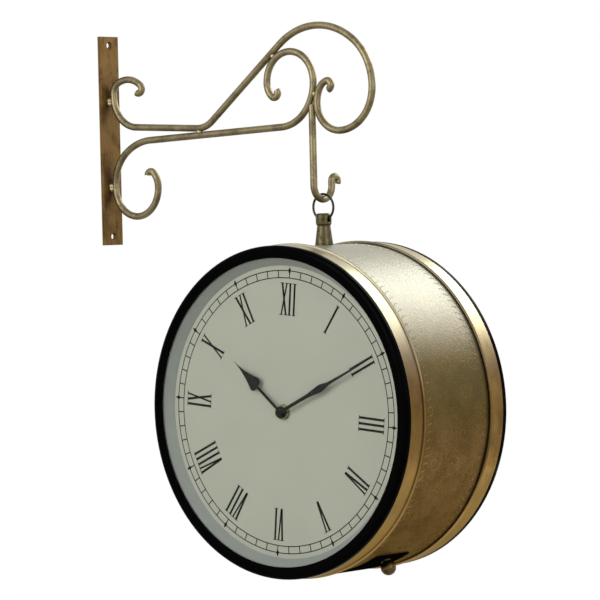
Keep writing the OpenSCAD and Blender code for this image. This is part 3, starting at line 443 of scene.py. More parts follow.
@dataclass(frozen=True)
class EtchedSheet(DrumBrass):
    """Rolled brass sheet with a stippled ground and engraved curls, laid out along the drum's own curve.

    A painted shade makes it darker and olive above its middle, a painted highlight pales it on top, and a
    painted shade darkens its seams.
    """

    edge_on: str = "#cfc0a2"
    lacquer_below: float = 0.04
    lacquer_above: float = 0.75
    lacquer_rough: float = 0.38
    dark: str = "#624a2c"
    mid: str = "#755937"
    light: str = "#9b875a"
    # A painted shade along the seams, where the rolled beads shade the sheet
    seam_shade: str = "#38270f"
    seam_from: float = 39.2
    seam_to: float = 41.2
    seam_share: float = 0.4
    curl_cell: float = 27.0
    windings: float = 4.2
    curl_shine: float = 0.2
    curl_depth: float = 0.9
    relief: float = 0.12
    stipple: float = 1.3
    cloud: float = 24.0
    # The first wash is a painted shade, olive and darker from just below the middle upward; the second is a
    # pale painted highlight on top
    washes: tuple[Wash, ...] = (Wash("#474421", -0.27, 0.05, 0.55), Wash("#bbbdb6", 0.3, 0.85, 0.55))

    def curls(self, tree: NodeTree, turn: Feed, along: Feed) -> Feed:
        """Draws the engraved curls: a spiral in each cell of an uneven net, ending before the cell's edge.

        Args:
            tree: the material's tree.
            turn: the point's angle about the drum's axis.
            along: its distance along that axis.

        Returns:
            The line, from 0 beside it to 1 in its middle.
        """
        cell = self.curl_cell * MM
        cells_round = add_node(tree, "ShaderNodeMath", {
            0: turn, 1: self.radius * MM / cell}, operation="MULTIPLY")
        cells_along = add_node(tree, "ShaderNodeMath", {0: along, 1: 1 / cell}, operation="MULTIPLY")
        flat = add_node(tree, "ShaderNodeCombineXYZ", {0: cells_round, 1: cells_along})
        cells = add_node(tree, "ShaderNodeTexVoronoi", {
            "Vector": flat, "Scale": 1.0, "Randomness": 0.75}, voronoi_dimensions="2D")
        inside = add_node(tree, "ShaderNodeVectorMath", {
            0: flat, 1: cells.outputs["Position"]}, operation="SUBTRACT")
        spot = add_node(tree, "ShaderNodeSeparateXYZ", {0: inside})
        heading = add_node(tree, "ShaderNodeMath", {
            0: spot.outputs["Y"], 1: spot.outputs["X"]}, operation="ARCTAN2")
        turned = add_node(tree, "ShaderNodeMath", {0: heading, 1: 1 / FULL_TURN}, operation="MULTIPLY")
        wound = add_node(tree, "ShaderNodeMath", {
            0: cells.outputs["Distance"], 1: self.windings, 2: turned}, operation="MULTIPLY_ADD")
        step = add_node(tree, "ShaderNodeMath", {0: wound}, operation="FRACT")
        off = add_node(tree, "ShaderNodeMath", {0: step, 1: 0.5}, operation="SUBTRACT")
        near = add_node(tree, "ShaderNodeMath", {0: off}, operation="ABSOLUTE")
        line = add_node(tree, "ShaderNodeMapRange", {
            "Value": near, "From Min": 0.12, "From Max": 0.03}, interpolation_type="SMOOTHSTEP")
        rim = add_node(tree, "ShaderNodeMapRange", {
            "Value": cells.outputs["Distance"], "From Min": 0.42, "From Max": 0.3})
        return add_node(tree, "ShaderNodeMath", {0: line, 1: rim}, operation="MULTIPLY")

    def material(self) -> Material:
        """Makes the sheet's material.

        Returns:
            The material.
        """
        made = bpy.data.materials.new(self.name)
        tree = emptied(made)
        where, turn, along, height = self.places(tree)
        curl = self.curls(tree, turn, along)
        clouds = add_node(tree, "ShaderNodeTexNoise", {
            "Vector": where, "Scale": 1 / (self.cloud * MM), "Detail": 4.0, "Roughness": 0.6})
        pits = add_node(tree, "ShaderNodeTexVoronoi", {
            "Vector": where, "Scale": 1 / (self.stipple * MM)})
        grit = add_node(tree, "ShaderNodeTexNoise", {
            "Vector": where, "Scale": 1.6 / (self.stipple * MM), "Detail": 2.0})
        pitted = add_node(tree, "ShaderNodeMapRange", {
            "Value": pits.outputs["Distance"], "From Min": 0.15, "From Max": 0.7})
        aged = add_node(tree, "ShaderNodeMapRange", {
            "Value": clouds, "From Min": 0.38, "From Max": 0.62}, interpolation_type="SMOOTHSTEP")
        bright = add_node(tree, "ShaderNodeMapRange", {
            "Value": grit, "From Min": 0.52, "From Max": 0.72, "To Max": 0.6})
        cut = add_node(tree, "ShaderNodeMath", {0: curl, 1: self.curl_shine}, operation="MULTIPLY")
        apart = add_node(tree, "ShaderNodeMath", {0: along}, operation="ABSOLUTE")
        seam = add_node(tree, "ShaderNodeMapRange", {
            "Value": apart, "From Min": self.seam_from * MM, "From Max": self.seam_to * MM,
            "To Max": self.seam_share}, interpolation_type="SMOOTHSTEP")
        # Clouds of darker metal first, then bright specks, the cut curls, and a painted shade darkening the
        # seams beside the bands
        colour: object = linear(self.dark)
        for share, tone in ((aged, self.mid), (bright, self.light), (cut, self.light), (seam, self.seam_shade)):
            colour = add_node(tree, "ShaderNodeMix", {0: share, 6: colour, 7: linear(tone)}, data_type="RGBA")
        rough = add_node(tree, "ShaderNodeMapRange", {"Value": pitted, "To Min": 0.4, "To Max": 0.55})
        cut_in = add_node(tree, "ShaderNodeMath", {
            0: curl, 1: -self.curl_depth, 2: pitted}, operation="MULTIPLY_ADD")
        bump = add_node(tree, "ShaderNodeBump", {
            "Height": cut_in, "Strength": 0.6, "Distance": self.relief * MM})
        self.lacquered(tree, height, {
            "Base Color": self.washed(tree, height, colour, self.washes), "Roughness": rough,
            "Normal": bump, "Coat Normal": bump})
        return made


@dataclass(frozen=True)
class SpunBrass(DrumBrass):
    """Brass band turned on a lathe: long fine lines round the drum, and a golden shine under lacquer.

    A painted shade browns it from its middle upward, a painted highlight pales it on top, and a golden
    painted highlight brightens it low down.
    """

    edge_on: str = "#d2c0a0"
    lacquer_below: float = 0.1
    lacquer_above: float = 0.65
    lacquer_rough: float = 0.28
    dark: str = "#654a28"
    mid: str = "#85673a"
    light: str = "#a7915c"
    # A painted shade along the rolled bead
    bead_shade: str = "#5c4c29"
    bead_from: float = 44.0
    bead_blend: float = 0.6
    bead_share: float = 0.7
    bead_rough: float = 0.25
    # The lathe's lines are really about 0.2 mm apart, and are drawn coarser so that they show
    line_size: float = 0.7
    line_draw: float = 4.0
    cloud: float = 30.0
    relief: float = 0.03
    # A painted shade from the middle upward, a pale painted highlight on top, and a golden painted highlight
    # low down
    upper_shade: Wash = Wash("#523a1a", -0.3, 0.0, 0.6)
    dust: Wash = Wash("#c9c9b2", 0.17, 0.85, 0.6)
    brightened: Wash = Wash("#bb9d64", -0.3, -0.65, 0.6)

    def material(self) -> Material:
        """Makes the band's material.

        Returns:
            The material.
        """
        made = bpy.data.materials.new(self.name)
        tree = emptied(made)
        where, turn, along, height = self.places(tree)
        slow = add_node(tree, "ShaderNodeMath", {0: turn, 1: self.line_draw * MM}, operation="MULTIPLY")
        drawn = add_node(tree, "ShaderNodeCombineXYZ", {0: slow, 1: along})
        lines = add_node(tree, "ShaderNodeTexNoise", {
            "Vector": drawn, "Scale": 1 / (self.line_size * MM), "Detail": 3.0})
        clouds = add_node(tree, "ShaderNodeTexNoise", {
            "Vector": where, "Scale": 1 / (self.cloud * MM), "Detail": 4.0, "Roughness": 0.6})
        aged = add_node(tree, "ShaderNodeMapRange", {
            "Value": clouds, "From Min": 0.3, "From Max": 0.55}, interpolation_type="SMOOTHSTEP")
        ground = add_node(tree, "ShaderNodeMix", {
            0: aged, 6: linear(self.dark), 7: linear(self.mid)}, data_type="RGBA")
        fine = add_node(tree, "ShaderNodeMapRange", {
            "Value": lines, "From Min": 0.45, "From Max": 0.75, "To Max": 0.4})
        spun = add_node(tree, "ShaderNodeMix", {0: fine, 6: ground, 7: linear(self.light)}, data_type="RGBA")
        wear_and_painted_light = self.washed(tree, height, spun, (self.upper_shade, self.dust, self.brightened))
        # The rolled bead takes a painted shade, and low on the drum a painted highlight instead
        tone = self.washed(tree, height, linear(self.bead_shade), (replace(self.brightened, share=1.0),))
        apart = add_node(tree, "ShaderNodeMath", {0: along}, operation="ABSOLUTE")
        bead = add_node(tree, "ShaderNodeMapRange", {
            "Value": apart, "From Min": self.bead_from * MM,
            "From Max": (self.bead_from - self.bead_blend) * MM, "To Max": self.bead_share})
        colour = add_node(tree, "ShaderNodeMix", {0: bead, 6: wear_and_painted_light, 7: tone}, data_type="RGBA")
        smooth = add_node(tree, "ShaderNodeMapRange", {
            "Value": clouds, "From Min": 0.3, "From Max": 0.7, "To Min": 0.38, "To Max": 0.3})
        rough = add_node(tree, "ShaderNodeMath", {
            0: bead, 1: self.bead_rough, 2: smooth}, operation="MULTIPLY_ADD")
        bump = add_node(tree, "ShaderNodeBump", {
            "Height": lines, "Strength": 0.35, "Distance": self.relief * MM})
        self.lacquered(tree, height, {"Base Color": colour, "Roughness": rough, "Normal": bump})
        return made


@dataclass(frozen=True)
class ClearGlass:
    """Flat glass, bloomed against glare: nearly unseen, faintly shining, and light goes straight through."""

    name: str = "bloomed_glass_clear"
    tint: str = "#fbfdfb"
    ior: float = 1.12

    def material(self) -> Material:
        """Makes the glass's material.

        Returns:
            The material.
        """
        made = bpy.data.materials.new(self.name)
        tree = emptied(made)
        shader = add_node(tree, "ShaderNodeBsdfPrincipled", {
            "Base Color": linear(self.tint), "Roughness": 0.0, "IOR": self.ior, "Transmission Weight": 1.0})
        clear = add_node(tree, "ShaderNodeBsdfTransparent", {"Color": linear(self.tint)})
        path = add_node(tree, "ShaderNodeLightPath")
        passing = add_node(tree, "ShaderNodeMath", {
            0: path.outputs["Is Shadow Ray"], 1: path.outputs["Is Diffuse Ray"]}, operation="MAXIMUM")
        mixed = add_node(tree, "ShaderNodeMixShader", {0: passing, 1: shader, 2: clear})
        add_node(tree, "ShaderNodeOutputMaterial", {"Surface": mixed})
        return made


# Geometry rules


def ring_rule() -> NodeTree:
    """Makes the rule of a flat printed ring: a circle of a given radius, line width and thickness.

    Returns:
        The geometry tree.
    """
    tree, given = new_rule("printed_ring", ("Radius", "Line", "Thickness"))
    circle = add_node(tree, "GeometryNodeCurvePrimitiveCircle", {
        "Resolution": 240, "Radius": given["Radius"]}, mode="RADIUS")
    level = add_node(tree, "GeometryNodeSetCurveNormal", {"Curve": circle}, mode="Z_UP")
    section = add_node(tree, "GeometryNodeCurvePrimitiveQuadrilateral", {
        "Width": given["Line"], "Height": given["Thickness"]}, mode="RECTANGLE")
    band = add_node(tree, "GeometryNodeCurveToMesh", {"Curve": level, "Profile Curve": section})
    return end_rule(tree, band, given)


class Axis(Enum):
    """An axis, with its number among a vector's three."""

    Y = 1
    Z = 2


def round_a_circle(tree: NodeTree, count: Feed, radius: Feed, up: Axis) -> tuple[Feed, Feed]:
    """Spreads points evenly round a circle, clockwise from its top.

    Args:
        tree: the geometry tree.
        count: how many points.
        radius: the circle's radius.
        up: the axis that points to the top.

    Returns:
        Each point's angle and place.
    """
    index = add_node(tree, "GeometryNodeInputIndex")
    step = add_node(tree, "ShaderNodeMath", {0: FULL_TURN, 1: count}, operation="DIVIDE")
    angle = add_node(tree, "ShaderNodeMath", {0: index, 1: step}, operation="MULTIPLY")
    across = add_node(tree, "ShaderNodeMath", {0: angle}, operation="SINE")
    upward = add_node(tree, "ShaderNodeMath", {0: angle}, operation="COSINE")
    way = add_node(tree, "ShaderNodeCombineXYZ", {0: across, up.value: upward})
    return angle, add_node(tree, "ShaderNodeVectorMath", {0: way, "Scale": radius}, operation="SCALE")


def marks_rule() -> NodeTree:
    """Makes the rule of a circle of printed marks: bars or pointed darts that all look to the centre.

    Returns:
        The geometry tree.
    """
    tree, given = new_rule(
        "printed_marks", ("Radius", "Width", "Length", "Thickness", "Turn"), ("Count", "Sides"))
    angle, spot = round_a_circle(tree, given["Count"], given["Radius"], Axis.Y)
    points = add_node(tree, "GeometryNodePoints", {"Count": given["Count"], "Position": spot})
    back = add_node(tree, "ShaderNodeMath", {0: angle, 1: -1.0}, operation="MULTIPLY")
    turned = add_node(tree, "ShaderNodeCombineXYZ", {2: back})
    # With four sides the prism is a diamond, and an eighth of a turn makes it a square bar
    prism = add_node(tree, "GeometryNodeMeshCylinder", {
        "Vertices": given["Sides"], "Radius": 0.5, "Depth": 1.0})
    own_turn = add_node(tree, "ShaderNodeCombineXYZ", {2: given["Turn"]})
    squared = add_node(tree, "GeometryNodeTransform", {
        "Geometry": prism.outputs["Mesh"], "Rotation": own_turn})
    size = add_node(tree, "ShaderNodeCombineXYZ", {
        0: given["Width"], 1: given["Length"], 2: given["Thickness"]})
    mark = add_node(tree, "GeometryNodeTransform", {"Geometry": squared, "Scale": size})
    placed = add_node(tree, "GeometryNodeInstanceOnPoints", {
        "Points": points, "Instance": mark, "Rotation": turned})
    return end_rule(tree, placed, given)


def border_rule() -> NodeTree:
    """Makes the rule of a row of small slanted strokes, embossed like a rope round a drum whose axis is y.

    Returns:
        The geometry tree.
    """
    tree, given = new_rule(
        "embossed_border", ("Drum radius", "Along axis", "Stroke", "Line", "Facing"), ("Count",))
    angle, spot = round_a_circle(tree, given["Count"], given["Drum radius"], Axis.Z)
    shift = add_node(tree, "ShaderNodeCombineXYZ", {1: given["Along axis"]})
    moved = add_node(tree, "ShaderNodeVectorMath", {0: spot, 1: shift}, operation="ADD")
    points = add_node(tree, "GeometryNodePoints", {"Count": given["Count"], "Position": moved})
    # A sixth of a circle is as long across as its radius, and its middle goes back to the point it stands on
    sixth = FULL_TURN / 6
    arc_middle = 0.95
    arc = add_node(tree, "GeometryNodeCurveArc", {
        "Resolution": 7, "Radius": given["Stroke"], "Start Angle": sixth, "Sweep Angle": sixth},
        mode="RADIUS")
    sink = add_node(tree, "ShaderNodeMath", {0: given["Stroke"], 1: -arc_middle}, operation="MULTIPLY")
    back = add_node(tree, "ShaderNodeCombineXYZ", {1: sink})
    centred = add_node(tree, "GeometryNodeTransform", {"Geometry": arc, "Translation": back})
    wire = add_node(tree, "GeometryNodeCurvePrimitiveCircle", {
        "Resolution": 6, "Radius": given["Line"]}, mode="RADIUS")
    stroke = add_node(tree, "GeometryNodeCurveToMesh", {
        "Curve": centred, "Profile Curve": wire, "Fill Caps": True})
    facing = add_node(tree, "ShaderNodeCombineXYZ", {2: given["Facing"]})
    aimed = add_node(tree, "GeometryNodeTransform", {"Geometry": stroke, "Rotation": facing})
    turned = add_node(tree, "ShaderNodeCombineXYZ", {1: angle})
    placed = add_node(tree, "GeometryNodeInstanceOnPoints", {
        "Points": points, "Instance": aimed, "Rotation": turned})
    return end_rule(tree, placed, given)


# The clock's sub-assemblies


class Side(Enum):
    """The clock's two faces. The value turns a dial's own drawing about the vertical."""

    FRONT = 0.0
    REAR = math.pi

    @property
    def label(self) -> str:
        """The side's name, as its CAD nodes begin."""
        return self.name.lower()


@dataclass
class WallBracket:
    """The strip on the wall, its two scrolls, the hook rod and the welds that join them."""

    # Brass plate on bent rod, gone olive with age: dull gold with brown in patches, and pale rubbed edges
    rods: PlatedMetal = PlatedMetal(
        "antique_brass_plate_rod", "#5c5138", "#7c7153", "#a2977c", 0.36, 0.5, patch_size=14, grain_share=0.3,
        relief=0.02)
    # The same plate on rolled flat bar: browner, with upright lines
    flat: PlatedMetal = PlatedMetal(
        "antique_brass_plate_flat_bar", "#493315", "#664d29", "#866a40", 0.4, 0.55, patch_size=20,
        grain=Grain.UPRIGHT, grain_share=0.4, relief=0.03, edge_size=0.8)
    # Plated weld bead: rippled, and a paler copy of the rods' plate, a painted highlight for the light it
    # catches
    welds: PlatedMetal = PlatedMetal(
        "weld_bead_plated", "#6b5838", "#9c8a64", "#d9cfae", 0.3, 0.45, patch_size=2, relief=0.12)

    def build(self) -> None:
        """Dresses the bracket's nodes."""
        dress(["upper_scroll", "lower_scroll", "hook_rod"], self.rods.material())
        dress(["wall_strip"], self.flat.material())
        dress(["weld_beads"], self.welds.material())


@dataclass
class HangingParts:
    """The wire ring on the hook, and the turned hanger with its plate and nut in the drum."""

    # Drawn steel wire, darkened: nearly black, with a narrow shine
    wire: PlatedMetal = PlatedMetal(
        "darkened_steel_wire", "#141310", "#2b2822", "#5d574a", 0.3, 0.45, patch_size=4, relief=0.02)
    # Turned brass gone dark: deep brown, and golden only where the light strikes
    turned: PlatedMetal = PlatedMetal(
        "antique_brass_turned", "#2c2619", "#4d4530", "#766c50", 0.34, 0.5, patch_size=5, grain_share=0.4,
        relief=0.02)

    def build(self, zinc: Material) -> None:
        """Dresses the ring and the hanger.

        Args:
            zinc: the finish of plain hardware.
        """
        dress(["hanging_ring"], self.wire.material())
        dress(["hanger_spindle"], self.turned.material())
        dress(["hanger_plate", "hanger_nut"], zinc)


@dataclass
class Drum:
    """The etched brass sheet between the dials, with its two spun bands and its rope-like borders."""

    radius: float = 135.5
    border_from_middle: float = 35.8
    stroke_pitch: float = 6.5
    stroke_length: float = 5.2
    stroke_line: float = 0.6
    stroke_sunk: float = 0.3
    stroke_slant: float = 22.0
    # The front band gets more painted shade than the rear one
    band_upper_shade: tuple[tuple[str, float], ...] = (("front_rim", 0.6), ("rear_rim", 0.12))

    def build(self, centre: Vector) -> None:
        """Dresses the drum and lays a border of slanted strokes beside each band.

        Args:
            centre: the middle of the drum, in metres.
        """
        sheet = EtchedSheet("brass_sheet_etched", tuple(centre), self.radius).material()
        dress(["drum_shell"], sheet)
        for name, share in self.band_upper_shade:
            band = SpunBrass(f"brass_{name}_spun", tuple(centre), self.radius)
            dress([name], replace(band, upper_shade=replace(band.upper_shade, share=share)).material())
        # Embossed strokes are rubbed paler than the ground they stand on, and are painted paler still, a
        # painted highlight for the light they catch
        raised = EtchedSheet(
            "brass_marks_embossed", tuple(centre), self.radius, dark="#6b572a", mid="#8a7645",
            light="#c2b387", curl_shine=0.0, curl_depth=0.0).material()
        rule = border_rule()
        for side in Side:
            outward = -1 if side is Side.FRONT else 1
            piece = grow(f"{side.label}_border_marks", rule, {
                "Count": round(FULL_TURN * self.radius / self.stroke_pitch),
                "Drum radius": (self.radius - self.stroke_sunk) * MM,
                "Along axis": outward * self.border_from_middle * MM,
                "Stroke": self.stroke_length * MM, "Line": self.stroke_line * MM,
                "Facing": math.radians(90 - outward * self.stroke_slant),
                "Material": raised,
            }, Matrix.Translation(centre))
            keep(piece, "clock", raised)


@dataclass
class BatteryDoor:
    """The curved door under the drum, with its hinge, catch, knob and rivets."""

    # Cast brass ball, handled and dark: brown with small golden glints
    knob: PlatedMetal = PlatedMetal(
        "antique_brass_ball_knob", "#33230f", "#55452a", "#857750", 0.3, 0.4, patch_size=6, grain_share=0.3)
    # Pressed brass gone brown: dull, with hardly a glint
    fittings: PlatedMetal = PlatedMetal(
        "brass_hinge_and_rivets", "#4f3c1c", "#63502f", "#857449", 0.4, 0.5, patch_size=5, edge_on="#8c744a")
    # Flat black with no shine, hardly lighter in its faint mottle: a painted shade for the shadowed gap under
    # the door
    leaf: Coating = Coating("flat_black_painted_shade", "#060606", "#0b0b0a", 0.7, specular=0.0)

    def build(self, zinc: Material) -> None:
        """Dresses the door and its fittings.

        Args:
            zinc: the finish of plain hardware.
        """
        dress(["access_door"], self.leaf.material())
        dress(["door_knob"], self.knob.material())
        dress(["hinge_leaf", "door_rivets"], self.fittings.material())
        dress(["hinge_pin", "door_catch", "door_knob_nut"], zinc)


@dataclass
class NumeralStyle:
    """Sizes of the dial's Roman numerals, which stand with their tops outwards."""

    inner: float = 79.5
    outer: float = 106.0
    thick: float = 2.0
    thin: float = 1.5
    serif: float = 0.6
    serif_reach: float = 0.95
    clear: float = 1.3
    vee_feet: tuple[float, float] = (-0.2, 0.25)
    widths: dict[str, float] = field(default_factory=lambda: {"I": 4.7, "V": 6.6, "X": 7.6})
    hours: tuple[str, ...] = ("XII", "I", "II", "III", "IV", "V", "VI", "VII", "VIII", "IX", "X", "XI")

    def strokes(self, letter: str) -> list[tuple[float, float, float]]:
        """Lists a letter's strokes as foot, head and width, across the letter from its middle.

        Args:
            letter: I, V or X.

        Returns:
            The strokes.
        """
        half = self.widths[letter] / 2 - self.clear
        if letter == "I":
            return [(0.0, 0.0, self.thick)]
        if letter == "V":
            left, right = self.vee_feet
            return [(left, -half, self.thick), (right, half, self.thin)]
        return [(half, -half, self.thick), (-half, half, self.thin)]


@dataclass
class DialPrint:
    """What is printed on each dial: the minute track, its darts and the hour numerals."""

    track_inner: float = 110.2
    track_outer: float = 116.1
    line: float = 0.8
    bar: float = 0.9
    dart_length: float = 6.6
    dart_width: float = 3.2
    ink: float = 0.06
    dart_ink: float = 0.072
    style: NumeralStyle = field(default_factory=NumeralStyle)

    def prism(self, shape: bmesh.types.BMesh, corners: list[tuple[float, float]], place: Matrix) -> None:
        """Adds one flat inked area with a little thickness.

        Args:
            shape: the mesh that it joins.
            corners: its outline, counterclockwise, in millimetres.
            place: where it goes on the dial.
        """
        low, high = (
            [shape.verts.new(place @ Vector((x, y, z))) for x, y in corners]
            for z in (-self.ink / 2, self.ink / 2))
        shape.faces.new(low[::-1])
        shape.faces.new(high)
        for i in range(len(corners)):
            j = (i + 1) % len(corners)
            shape.faces.new([low[i], low[j], high[j], high[i]])

    def numerals(self, name: str, place: Matrix) -> Object:
        """Draws the twelve hours.

        Args:
            name: the piece's name.
            place: from the dial's own frame in millimetres to the row frame.

        Returns:
            The piece.
        """
        shape = bmesh.new()
        style = self.style
        reach = style.thick / 2 + style.serif_reach
        for hour, letters in enumerate(style.hours):
            turn = place @ Matrix.Rotation(-hour * FULL_TURN / HOURS, 4, "Z")
            x = -sum(style.widths[c] for c in letters) / 2
            for letter in letters:
                x += style.widths[letter] / 2
                for foot, head, width in style.strokes(letter):
                    self.prism(shape, [
                        (x + foot - width / 2, style.inner), (x + foot + width / 2, style.inner),
                        (x + head + width / 2, style.outer), (x + head - width / 2, style.outer)], turn)
                    # Each stroke has a serif at both ends, but the point of a V has none
                    serifs = [(x + head, style.outer - style.serif, style.outer)]
                    if letter != "V":
                        serifs.append((x + foot, style.inner, style.inner + style.serif))
                    for at, near, far in serifs:
                        left, right = at - reach, at + reach
                        self.prism(shape, [(left, near), (right, near), (right, far), (left, far)], turn)
                x += style.widths[letter] / 2
        return mesh_piece(name, shape)

    def build(self, side: Side, place: Matrix, ink: Material, rules: dict[str, NodeTree]) -> None:
        """Prints one dial.

        Args:
            side: the dial's side.
            place: from the dial's own frame in millimetres to the row frame.
            ink: the ink's material.
            rules: the rules of rings and marks.
        """
        # A bar is a square prism turned by an eighth, so its sides are the diagonals' lengths over root two
        square = math.sqrt(2)
        inner, outer = self.track_inner, self.track_outer
        line = {"Line": self.line, "Thickness": self.ink}
        prints = {
            "track_inner_line": ("ring", {"Radius": inner, **line}),
            "track_outer_line": ("ring", {"Radius": outer, **line}),
            "minute_bars": ("marks", {
                "Count": MINUTES, "Radius": (inner + outer) / 2, "Width": self.bar * square,
                "Length": (outer - inner) * square, "Thickness": self.ink, "Sides": 4,
                "Turn": FULL_TURN / 8}),
            "hour_darts": ("marks", {
                "Count": HOURS, "Radius": outer, "Width": self.dart_width, "Length": self.dart_length,
                "Thickness": self.dart_ink, "Sides": 4, "Turn": 0.0}),
        }
        for label, (rule, sizes) in prints.items():
            piece = grow(f"{side.label}_{label}", rules[rule], {**sizes, "Material": ink}, place)
            keep(piece, "clock", ink)
        keep(self.numerals(f"{side.label}_numerals", place), "clock", ink)


def dress_side(side: Side, parts: dict[str, tuple[str, ...]], finishes: dict[str, Material]) -> None:
    """Gives the parts of one side, listed by their finish's use, the finish of that use."""
    for use, names in parts.items():
        dress([f"{side.label}_{name}" for name in names], finishes[use])


@dataclass
class DialSide:
    """Everything that one side shows through its glass, and the black bezel round it."""

    side: Side
    dial_turn: float
    parts: dict[str, tuple[str, ...]] = field(default_factory=lambda: {
        "enamel": ("bezel",),
        "glass": ("glass",),
        "grey": ("dial_ring",),
        "dial": ("dial",),
        "zinc": ("clamp_ring", "clamp_screws"),
        "nut": ("dial_washer", "dial_nut"),
        "hand": ("hour_hand", "minute_hand", "hand_cap"),
    })

    def place(self) -> Matrix:
        """Gives the way from the dial's own frame, in millimetres with z out of the glass, to the row frame.

        Returns:
            The matrix.
        """
        name = f"{self.side.label}_dial"
        low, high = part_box(name)
        face = middle(name)
        face.y = low.y if self.side is Side.FRONT else high.y
        stand = Matrix.Rotation(self.side.value, 4, "Z") @ Matrix.Rotation(math.pi / 2, 4, "X")
        clockwise = Matrix.Rotation(-math.radians(self.dial_turn), 4, "Z")
        return Matrix.Translation(face) @ stand @ clockwise @ Matrix.Scale(MM, 4)

    def build(self, finishes: dict[str, Material], rules: dict[str, NodeTree]) -> None:
        """Dresses this side and prints its dial."""
        dress_side(self.side, self.parts, finishes)
        DialPrint().build(self.side, self.place(), finishes["ink"], rules)


@dataclass
class Movement:
    """The quartz movement behind one dial."""

    side: Side
    parts: dict[str, tuple[str, ...]] = field(default_factory=lambda: {
        "case": ("movement_case", "movement_cover"),
        "board": ("circuit_board",),
        "coil": ("drive_coil",),
        "battery": ("battery",),
        "gear": ("minute_wheel", "hour_wheel"),
        "zinc": ("minute_arbor",),
        "red": ("setting_knob",),
    })

    def build(self, finishes: dict[str, Material]) -> None:
        """Dresses the movement's parts."""
        dress_side(self.side, self.parts, finishes)


def shared_finishes() -> dict[str, Material]:
    """Makes the finishes that several pieces share.

    Returns:
        The materials by use.
    """
    made = {
        # Bright zinc on pressed steel: pale blue-grey with faint blotches
        "zinc": PlatedMetal("zinc_plated_steel", "#8d9196", "#b4b8bd", "#d5d8dc", 0.3, 0.42, patch_size=4),
        # Machined brass, clean inside the case: warm yellow and bright
        "gear": PlatedMetal("machined_brass", "#8a6d38", "#b3924f", "#dcc184", 0.24, 0.34, patch_size=4),
        # Brass nut gone dull in the air: pale olive, hardly any shine
        "nut": PlatedMetal("tarnished_brass_nut", "#6c6849", "#8b8664", "#b3ad8c", 0.38, 0.5, patch_size=4),
        # Stoved gloss enamel: deep black, one smooth sheen
        "enamel": Coating(
            "stoved_enamel_gloss_black", "#020202", "#040404", 0.16, specular=0.012, relief=0.004),
        # Satin paint on steel: an even grey with a soft sheen
        "grey": Coating("satin_grey_paint", "#909390", "#888a87", 0.45, relief=0.006),
        # Printed dial: eggshell paint, grey-cream with the faintest mottle
        "dial": Coating("eggshell_dial_paint", "#b3b2a6", "#acab9e", 0.5, mottle_size=30, specular=0.3),
        # Screen-printed ink: near black with a green cast, and matt
        "ink": Coating("screen_printed_ink", "#0b0d07", "#12140d", 0.6, specular=0.1, relief=0.004),
        # Matt lacquer on pressed steel: black, with hardly a highlight
        "hand": Coating("matt_black_lacquer", "#0c0c0b", "#131312", 0.5, specular=0.12),
        # Moulded ABS with a spark-eroded skin: black and finely rough
        "case": Coating("moulded_abs_black", "#171717", "#202020", 0.5, relief=0.03),
        # Solder mask over fibreglass board: deep green under a clear gloss
        "board": Coating("solder_mask_green", "#255b33", "#2f6b3c", 0.35, mottle_size=5, coat=0.3),
        # Enamelled copper wire, closely wound: reddish, with fine lines of shine
        "coil": PlatedMetal("enamelled_copper_wire", "#7c3a16", "#a5582a", "#cf8a5a", 0.25, 0.35,
                            grain_size=0.4, grain=Grain.LENGTHWISE, relief=0.1),
        # Metallised sleeve of a dry cell: pale gold and smooth
        "battery": PlatedMetal("metallised_battery_sleeve", "#a8853c", "#c9a95c", "#e3cf98", 0.25, 0.3,
                               patch_size=20),
        # Moulded polystyrene: brick red with a soft sheen
        "red": Coating("moulded_polystyrene_red", "#7d2f2a", "#8a3a33", 0.4),
        # Coated glass: clear, with nothing white lying on it
        "glass": ClearGlass(),
    }
    return {use: finish.material() for use, finish in made.items()}


# The studio


@dataclass(frozen=True)
class Lamp:
    """One soft lamp: its place from the clock's middle, its size in metres and its power in watts."""

    name: str
    place: tuple[float, float, float]
    size: float
    power: float
    tint: str = "#ffffff"


